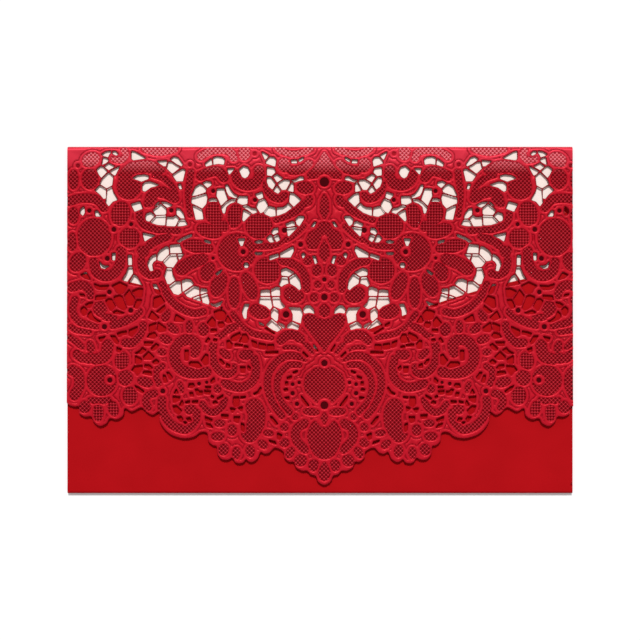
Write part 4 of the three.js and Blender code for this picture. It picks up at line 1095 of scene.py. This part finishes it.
def closed_slab(name: str, top: np.ndarray, bottom: np.ndarray, triangles: np.ndarray) -> bpy.types.Mesh:
    """Makes a closed mesh from a sheet's two faces and the walls between their edges.

    Args:
        name: Name of the mesh.
        top: Points of the upper face.
        bottom: The same points on the lower face.
        triangles: Triangles of the upper face, facing up.

    Returns:
        The closed mesh.
    """
    count = len(top)
    edges = np.vstack([triangles[:, [0, 1]], triangles[:, [1, 2]], triangles[:, [2, 0]]])
    keys = edges[:, 0] * count + edges[:, 1]
    back = edges[:, 1] * count + edges[:, 0]
    rim = edges[~np.isin(keys, back)]
    start, end = rim[:, 0], rim[:, 1]
    faces = np.vstack(
        [
            triangles,
            triangles[:, ::-1] + count,
            np.column_stack([start, start + count, end + count]),
            np.column_stack([start, end + count, end]),
        ]
    )
    mesh = bpy.data.meshes.new(name)
    points = np.vstack([top, bottom])
    mesh.vertices.add(len(points))
    mesh.vertices.foreach_set("co", points.ravel())
    mesh.loops.add(faces.size)
    mesh.loops.foreach_set("vertex_index", faces.ravel())
    mesh.polygons.add(len(faces))
    mesh.polygons.foreach_set("loop_start", np.arange(0, faces.size, 3))
    mesh.update(calc_edges=True)
    mesh.validate()
    return mesh


def add_object(name: str, mesh: bpy.types.Mesh) -> bpy.types.Object:
    """Adds a mesh to the scene as an object at the origin."""
    item = bpy.data.objects.new(name, mesh)
    bpy.context.collection.objects.link(item)
    return item


def settled(item: bpy.types.Object) -> None:
    """Turns an object's modifiers into plain mesh and removes them.

    Args:
        item: The object, whose mesh is replaced.
    """
    graph = bpy.context.evaluated_depsgraph_get()
    graph.update()
    mesh = bpy.data.meshes.new_from_object(item.evaluated_get(graph))
    item.modifiers.clear()
    item.data = mesh


def thinned(item: bpy.types.Object, limit: int) -> None:
    """Thins an object's mesh to a number of triangles, keeping its shape.

    Args:
        item: The object.
        limit: Triangles that may stay.
    """
    faces = len(item.data.polygons)
    if faces > limit:
        thin = item.modifiers.new("thin", "DECIMATE")
        thin.ratio = limit / faces
        settled(item)


def swept(
    name: str,
    points: list[tuple[float, float, float]],
    around: int,
    ends: list[tuple[int, ...]],
    turned: bool = False,
) -> bpy.types.Object:
    """Joins rings of points into one closed piece.

    Args:
        name: Name of the piece.
        points: Points of the rings in metres, one ring after another.
        around: Points in one ring.
        ends: Faces that close both ends.
        turned: Whether all faces are turned over.

    Returns:
        The piece.
    """
    faces = []
    for near in range(0, len(points) - around, around):
        far = near + around
        for j in range(around):
            k = (j + 1) % around
            faces.append((near + j, near + k, far + k, far + j))
    faces += ends
    if turned:
        faces = [face[::-1] for face in faces]
    mesh = bpy.data.meshes.new(name)
    mesh.from_pydata(points, [], faces)
    mesh.validate()
    return add_object(name, mesh)


def finish_piece(
    item: bpy.types.Object,
    finish: bpy.types.Material,
    sharp: float,
    node: str = "lace_cover",
) -> None:
    """Shades a piece, dresses it and gives it to the frame.

    Args:
        item: The piece.
        finish: Its material.
        sharp: Angle in degrees past which an edge stays crisp.
        node: The solid that the piece stands for.
    """
    item.data.materials.clear()
    item.data.materials.append(finish)
    item.data.shade_smooth()
    item.data.set_sharp_from_angle(angle=math.radians(sharp))
    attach(item, "root")
    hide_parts(node)
    LOG.info("%s: %d faces", item.name, len(item.data.polygons))


@dataclass
class LaceFlap:
    """The embossed lace, with rounded tapes, thin bars and eyelets. Sizes are in millimetres."""

    drawing: LaceDrawing
    base: float = 0.24
    relief: float = 0.3
    roundness: float = 4.5
    plain_share: float = 0.9
    groove: float = 0.4
    triangles: int = 192000

    def lift(self, edge: np.ndarray, along: np.ndarray) -> np.ndarray:
        """Gives the height of the embossing.

        Args:
            edge: Distance from the nearest edge of the tape.
            along: Distance along the sheet from the fold.

        Returns:
            Height over the sheet's under face.
        """
        share = np.clip(edge / TAPE_WIDTH, 0, 1)
        tape = 1 - np.abs(2 * share - 1) ** self.roundness
        plain = self.plain_share * smooth_step((edge - TAPE_WIDTH) / self.groove)
        ridge = np.where(edge < TAPE_WIDTH, tape, plain)
        eased = smooth_step(along / (2 * self.drawing.flap.bend_radius))
        return self.base + self.relief * ridge * eased

    def build(self) -> bpy.types.Object:
        """Builds the flap.

        Returns:
            The lace as one closed mesh, which carries its distances to the tape's edges and to the cuts.
        """
        drawing = self.drawing
        hollow = np.minimum(np.minimum(drawing.cut, drawing.eyelets), drawing.net)
        cut = trim(np.minimum(hollow, drawing.sheet))
        across, along = drawing.places(cut)
        edge = np.maximum(cut.sample(drawing.edge), 0)
        top = drawing.flap.place(across, along, self.lift(edge, along))
        bottom = drawing.flap.place(across, along, np.zeros(len(across)))
        item = add_object("lace_flap", closed_slab("lace_flap", top, bottom, cut.triangles))
        thinned(item, self.triangles)
        self.measure(item.data)
        return item

    def measure(self, mesh: bpy.types.Mesh) -> None:
        """Writes each vertex's distance to the tape's edge and to a cut, in millimetres.

        Args:
            mesh: The flap's mesh.
        """
        drawing = self.drawing
        points = np.empty(len(mesh.vertices) * 3)
        mesh.vertices.foreach_get("co", points)
        across, along = drawing.flap.unfold(points.reshape(-1, 3))
        cuts = np.minimum(drawing.cut, drawing.scallops)
        for name, field in (("edge_distance", drawing.edge), ("cut_distance", cuts)):
            values = np.maximum(drawing.read(field, across, along), 0)
            mesh.attributes.new(name, "FLOAT", "POINT").data.foreach_set("value", values)


@dataclass
class PressedFloor:
    """Floors pressed into the lace, under its nets or in its eyelets. Sizes are in millimetres."""

    name: str
    drawing: LaceDrawing
    hollow: np.ndarray
    top: float = 0.12
    tuck: float = 0.25
    floor: float = 0.02
    triangles: int = 50000

    def build(self) -> bpy.types.Object:
        """Builds the floors, tucked a little under the tapes round them.

        Returns:
            The floors as closed plates.
        """
        drawing = self.drawing
        grown = np.minimum(self.tuck - self.hollow, drawing.cut)
        cut = trim(np.minimum(grown, drawing.sheet))
        across, along = drawing.places(cut)
        top = drawing.flap.place(across, along, np.full(len(across), self.top))
        bottom = drawing.flap.place(across, along, np.full(len(across), self.floor))
        item = add_object(self.name, closed_slab(self.name, top, bottom, cut.triangles))
        thinned(item, self.triangles)
        return item


@dataclass
class NetThreads:
    """Crossing threads of the nets, laid over their floors. Sizes are in millimetres."""

    name: str
    turn: float
    pitch: float = 1.04
    thread: float = 0.44
    field: float = 272.0
    last_row: float = 62.7
    ray_height: float = 50.0
    sides: int = 4

    def tree(self) -> bpy.types.NodeTree:
        """Builds the nodes that lay a cross of threads on each lattice point over a floor.

        Returns:
            The node tree, with its sizes as named inputs in metres and radians.
        """
        tree = bpy.data.node_groups.new("net_threads", "GeometryNodeTree")
        inputs = {"Ground": "Geometry", "Pitch": "Float", "Thread": "Float", "Turn": "Float"}
        inputs |= {"Field": "Float", "Points": "Int", "Sides": "Int", "Last Row": "Float"}
        inputs |= {"Finish": "Material"}
        for name, kind in inputs.items():
            tree.interface.new_socket(name, in_out="INPUT", socket_type=f"NodeSocket{kind}")
        tree.interface.new_socket("Threads", in_out="OUTPUT", socket_type="NodeSocketGeometry")
        given = tree.nodes.new("NodeGroupInput").outputs
        turn = add_node(tree, "ShaderNodeCombineXYZ", links={"Z": given["Turn"]})
        lattice = add_node(tree, "GeometryNodeMeshGrid")
        for axis in ("X", "Y"):
            tree.links.new(given["Field"], lattice.inputs[f"Size {axis}"])
            tree.links.new(given["Points"], lattice.inputs[f"Vertices {axis}"])
        turned = add_node(
            tree,
            "GeometryNodeTransform",
            links={"Geometry": lattice.outputs["Mesh"], "Rotation": turn.outputs[0]},
        )
        position = add_node(tree, "GeometryNodeInputPosition")
        split = add_node(tree, "ShaderNodeSeparateXYZ", links={0: position.outputs[0]})
        level = {"X": split.outputs[0], "Y": split.outputs[1]}
        above = add_node(tree, "ShaderNodeCombineXYZ", {"Z": self.ray_height * MM}, level)
        ray = add_node(
            tree,
            "GeometryNodeRaycast",
            {"Ray Direction": (0, 0, -1), "Ray Length": 2 * self.ray_height * MM},
            {"Target Geometry": given["Ground"], "Source Position": above.outputs[0]},
        )
        flat = add_node(
            tree,
            "FunctionNodeCompare",
            links={"A": split.outputs[1], "B": given["Last Row"]},
            operation="LESS_THAN",
        )
        held = add_node(
            tree,
            "FunctionNodeBooleanMath",
            links={0: ray.outputs["Is Hit"], 1: flat.outputs[0]},
            operation="AND",
        )
        over = add_node(
            tree,
            "GeometryNodeSeparateGeometry",
            links={"Geometry": turned.outputs[0], "Selection": held.outputs[0]},
            domain="POINT",
        )
        laid = add_node(
            tree,
            "GeometryNodeSetPosition",
            links={"Geometry": over.outputs[0], "Position": ray.outputs["Hit Position"]},
        )
        half = add_math(tree, "MULTIPLY", given["Pitch"], 0.5)
        back = add_math(tree, "MULTIPLY", given["Pitch"], -0.5)
        cross = add_node(tree, "GeometryNodeJoinGeometry")
        for axis in ("Y", "X"):
            start = add_node(tree, "ShaderNodeCombineXYZ", links={axis: back}).outputs[0]
            end = add_node(tree, "ShaderNodeCombineXYZ", links={axis: half}).outputs[0]
            line = add_node(tree, "GeometryNodeCurvePrimitiveLine", links={"Start": start, "End": end})
            tree.links.new(line.outputs[0], cross.inputs[0])
        radius = add_math(tree, "MULTIPLY", given["Thread"], 0.5)
        section = add_node(
            tree,
            "GeometryNodeCurvePrimitiveCircle",
            links={"Resolution": given["Sides"], "Radius": radius},
        )
        curves = {"Curve": cross.outputs[0], "Profile Curve": section.outputs[0]}
        thread = add_node(tree, "GeometryNodeCurveToMesh", {"Fill Caps": True}, curves)
        laying = {"Points": laid.outputs[0], "Instance": thread.outputs[0], "Rotation": turn.outputs[0]}
        spread = add_node(tree, "GeometryNodeInstanceOnPoints", links=laying)
        real = add_node(tree, "GeometryNodeRealizeInstances", links={0: spread.outputs[0]})
        dressed = add_node(
            tree,
            "GeometryNodeSetMaterial",
            links={"Geometry": real.outputs[0], "Material": given["Finish"]},
        )
        add_node(tree, "NodeGroupOutput", links={0: dressed.outputs[0]})
        return tree

    def build(self, ground: bpy.types.Object, finish: bpy.types.Material) -> bpy.types.Object:
        """Builds the threads over the floors.

        Args:
            ground: The floors that the threads lie on.
            finish: Material of the threads.

        Returns:
            The threads as one plain mesh.
        """
        item = add_object(self.name, ground.data.copy())
        modifier = item.modifiers.new("threads", "NODES")
        modifier.node_group = self.tree()
        points = round(self.field / self.pitch)
        values = {
            "Pitch": self.pitch * MM,
            "Thread": self.thread * MM,
            "Turn": math.radians(self.turn),
            "Field": (points - 1) * self.pitch * MM,
            "Points": points,
            "Sides": self.sides,
            "Last Row": self.last_row * MM,
            "Finish": finish,
        }
        for socket in modifier.node_group.interface.items_tree:
            if socket.name in values:
                modifier[socket.identifier] = values[socket.name]
        settled(item)
        return item


@dataclass
class FoldedCover:
    """The back panel, both folds and the plain pocket panel as one sheet. Sizes are in millimetres."""

    width: float = 2 * HALF_COVER
    height: float = 2 * FOLD_LINE
    card: float = CARD_THICKNESS
    top_radius: float = TOP_BEND
    bottom_radius: float = 1.025
    pocket_side: float = 80.9
    pocket_dip: float = 28.7
    dip_power: float = 1.5
    bulge: float = 0.12
    stations: int = 120
    bend_steps: int = 12
    panel_steps: int = 20

    def pocket_edge(self, across: float) -> float:
        """Gives the height of the pocket's top edge at a place across the cover."""
        share = 1 - abs(across) / (self.width / 2)
        return self.pocket_side - self.height / 2 - self.pocket_dip * share**self.dip_power

    def section(self, across: float, inset: float) -> list[tuple[float, float]]:
        """Follows one face of the sheet round both folds.

        Args:
            across: Place across the cover.
            inset: Distance of the face inside the outer face.

        Returns:
            Points up the page and up from the table.
        """
        fold = self.height / 2
        top_middle = fold - self.top_radius
        low_middle = self.bottom_radius - fold
        path = []
        for i in range(self.bend_steps + 1):
            angle = -math.pi / 2 * i / self.bend_steps
            reach = self.top_radius - inset
            path.append((top_middle + reach * math.cos(angle), self.top_radius + reach * math.sin(angle)))
        for i in range(1, self.panel_steps):
            share = i / self.panel_steps
            path.append((top_middle + (low_middle - top_middle) * share, inset))
        for i in range(2 * self.bend_steps + 1):
            angle = -math.pi / 2 - math.pi * i / (2 * self.bend_steps)
            reach = self.bottom_radius - inset
            height = self.bottom_radius + reach * math.sin(angle)
            path.append((low_middle + reach * math.cos(angle), height))
        edge = self.pocket_edge(across)
        level = 2 * self.bottom_radius - inset
        for i in range(1, self.panel_steps + 1):
            share = i / self.panel_steps
            crown = self.bulge * math.sin(math.pi * share) * math.cos(math.pi * across / self.width)
            path.append((low_middle + (edge - low_middle) * share, level + crown))
        return path

    def build(self) -> bpy.types.Object:
        """Sweeps the section across the cover.

        Returns:
            The folded sheet as one closed mesh.
        """
        points: list[tuple[float, float, float]] = []
        for i in range(self.stations + 1):
            across = self.width * (i / self.stations - 0.5)
            ring = self.section(across, 0) + self.section(across, self.card)[::-1]
            points += [(across * MM, up * MM, high * MM) for up, high in ring]
        around = len(points) // (self.stations + 1)
        last = self.stations * around
        ends = []
        for j in range(around // 2 - 1):
            far = around - 1 - j
            ends.append((j, far, far - 1, j + 1))
            ends.append((last + j, last + j + 1, last + far - 1, last + far))
        return swept("cover_body", points, around, ends)


@dataclass
class PocketTab:
    """One folded and glued side of the pocket. Sizes are in millimetres."""

    side: PocketSide
    cover: FoldedCover
    tab_width: float = 9.0
    end_gap: float = 3.0
    foot: float = 0.05
    round_steps: int = 6
    stations: int = 24

    def section(self) -> list[tuple[float, float]]:
        """Follows the outline of the fold and its tab.

        Returns:
            Points in from the cover's edge and up from the table.
        """
        card = self.cover.card
        top = 2 * self.cover.bottom_radius
        outline = [(self.tab_width, card), (self.foot, card)]
        for i in range(self.round_steps + 1):
            angle = math.pi / 2 * i / self.round_steps
            outline.append((card - card * math.cos(angle), top - card + card * math.sin(angle)))
        outline += [(2 * card, top), (2 * card, top - card), (card, top - card), (card, 2 * card)]
        outline.append((self.tab_width, 2 * card))
        return outline

    def build(self) -> bpy.types.Object:
        """Sweeps the section up the pocket's side.

        Returns:
            The side as one closed mesh.
        """
        low = self.end_gap - self.cover.height / 2
        high = self.cover.pocket_side - self.end_gap - self.cover.height / 2
        outline = self.section()
        around = len(outline)
        points = []
        for i in range(self.stations + 1):
            up = low + (high - low) * i / self.stations
            for inward, height in outline:
                across = self.side.value * (self.cover.width / 2 - inward)
                points.append((across * MM, up * MM, height * MM))
        last = self.stations * around
        ends = [tuple(range(around))[::-1], tuple(last + j for j in range(around))]
        name = f"pocket_tab_{self.side.name.lower()}"
        return swept(name, points, around, ends, self.side is PocketSide.LEFT)


@dataclass
class InsertCard:
    """The cream card in the pocket. Its solid has the right shape, so it only gets its finish."""

    node: str = "insert_card"

    def dress(self) -> None:
        """Gives the insert its cream card."""
        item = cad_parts[self.node]
        finish = CREAM_CARD_BOUNCE_TINT.make()
        if not item.material_slots:
            item.data.materials.append(finish)
        for slot in item.material_slots:
            slot.material = finish
        LOG.info("%s: dressed", self.node)


@dataclass
class Studio:
    """White table, soft light from beyond the top fold and a camera straight above. Sizes are in metres."""

    table_size: float = 4.0
    table_drop: float = 0.00005
    table_white: float = 0.92
    table_glow: float = 0.12
    sun_elevation: float = 55.0
    sun_strength: float = 2.6
    sun_angle: float = 9.0
    sky_strength: float = 0.35
    frame_width: float = 0.2352
    camera_height: float = 0.6
    sensor: float = 36.0

    def table(self) -> bpy.types.Object:
        """Makes the white table, which keeps the object's shadow.

        Returns:
            The table.
        """
        half, low = self.table_size / 2, -self.table_drop
        mesh = bpy.data.meshes.new("table")
        corners = [(-half, -half, low), (half, -half, low), (half, half, low), (-half, half, low)]
        mesh.from_pydata(corners, [], [(0, 1, 2, 3)])
        item = add_object("table", mesh)
        material = bpy.data.materials.new("white_table")
        material.use_nodes = True
        tree = material.node_tree
        tree.nodes.clear()
        white = (self.table_white, self.table_white, self.table_white, 1)
        paint = add_node(tree, "ShaderNodeBsdfDiffuse", {"Color": white})
        path = add_node(tree, "ShaderNodeLightPath")
        seen = path.outputs["Is Camera Ray"]
        for name in ("Is Glossy Ray", "Is Transmission Ray"):
            seen = add_math(tree, "MAXIMUM", seen, path.outputs[name])
        lit = add_math(tree, "MULTIPLY", seen, self.table_glow)
        glow = add_node(tree, "ShaderNodeEmission", links={"Strength": lit})
        both = add_node(tree, "ShaderNodeAddShader", links={0: paint.outputs[0], 1: glow.outputs[0]})
        add_node(tree, "ShaderNodeOutputMaterial", links={"Surface": both.outputs[0]})
        mesh.materials.append(material)
        return item

    def light(self) -> None:
        """Adds the soft lamp and an even white surround."""
        lamp = bpy.data.lights.new("soft_window", "SUN")
        lamp.energy = self.sun_strength
        lamp.angle = math.radians(self.sun_angle)
        item = bpy.data.objects.new("soft_window", lamp)
        item.rotation_euler = (math.radians(self.sun_elevation - 90), 0, 0)
        bpy.context.collection.objects.link(item)
        world = bpy.data.worlds.new("surround")
        bpy.context.scene.world = world
        world.use_nodes = True
        tree = world.node_tree
        tree.nodes.clear()
        path = add_node(tree, "ShaderNodeLightPath")
        seen = path.outputs["Is Camera Ray"]
        strength = add_ramp(tree, seen, (0.0, 1.0), self.sky_strength, easing="LINEAR")
        sky = add_node(tree, "ShaderNodeBackground", {"Color": (1, 1, 1, 1)}, {"Strength": strength})
        add_node(tree, "ShaderNodeOutputWorld", links={"Surface": sky.outputs[0]})

    def camera(self) -> None:
        """Adds the camera, looking straight down at the middle of the cover."""
        data = bpy.data.cameras.new("camera")
        data.sensor_width = self.sensor
        data.lens = self.sensor * self.camera_height / self.frame_width
        item = bpy.data.objects.new("camera", data)
        item.location = (0, 0, self.camera_height)
        bpy.context.collection.objects.link(item)
        bpy.context.scene.camera = item


def main() -> None:
    """Builds and dresses the invitation, then sets the studio."""
    logging.basicConfig(level=logging.INFO, format="%(message)s")
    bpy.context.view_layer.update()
    bpy.context.scene.view_settings.view_transform = "Standard"
    studio = Studio()
    studio.camera()
    drawing = LaceDrawing(FoldedFlap())
    finish_piece(LaceFlap(drawing).build(), EMBOSSED_CARD.make(), CRISP_LACE)
    eyelets = PressedFloor("eyelet_floors", drawing, drawing.eyelets, top=EYELET_FLOOR)
    finish_piece(eyelets.build(), EYELET_SHADE_CARD.make(), CRISP_CARD)
    thread_card = THREAD_CARD.make()
    nets = (("slant_net", drawing.slant_net, 45.0), ("straight_net", drawing.straight_net, 0.0))
    for name, hollow, turn in nets:
        floor = PressedFloor(f"{name}_floors", drawing, hollow).build()
        threads = NetThreads(f"{name}_threads", turn).build(floor, thread_card)
        finish_piece(floor, PIT_SHADE_CARD.make(), CRISP_CARD)
        finish_piece(threads, thread_card, CRISP_THREAD)
    cover = FoldedCover()
    finish_piece(cover.build(), SMOOTH_SHADED_CARD.make(), CRISP_CARD)
    for side in PocketSide:
        finish_piece(PocketTab(side, cover).build(), SMOOTH_SHADED_CARD.make(), CRISP_CARD)
    InsertCard().dress()
    studio.table()
    studio.light()


if __name__ == "__main__":
    main()
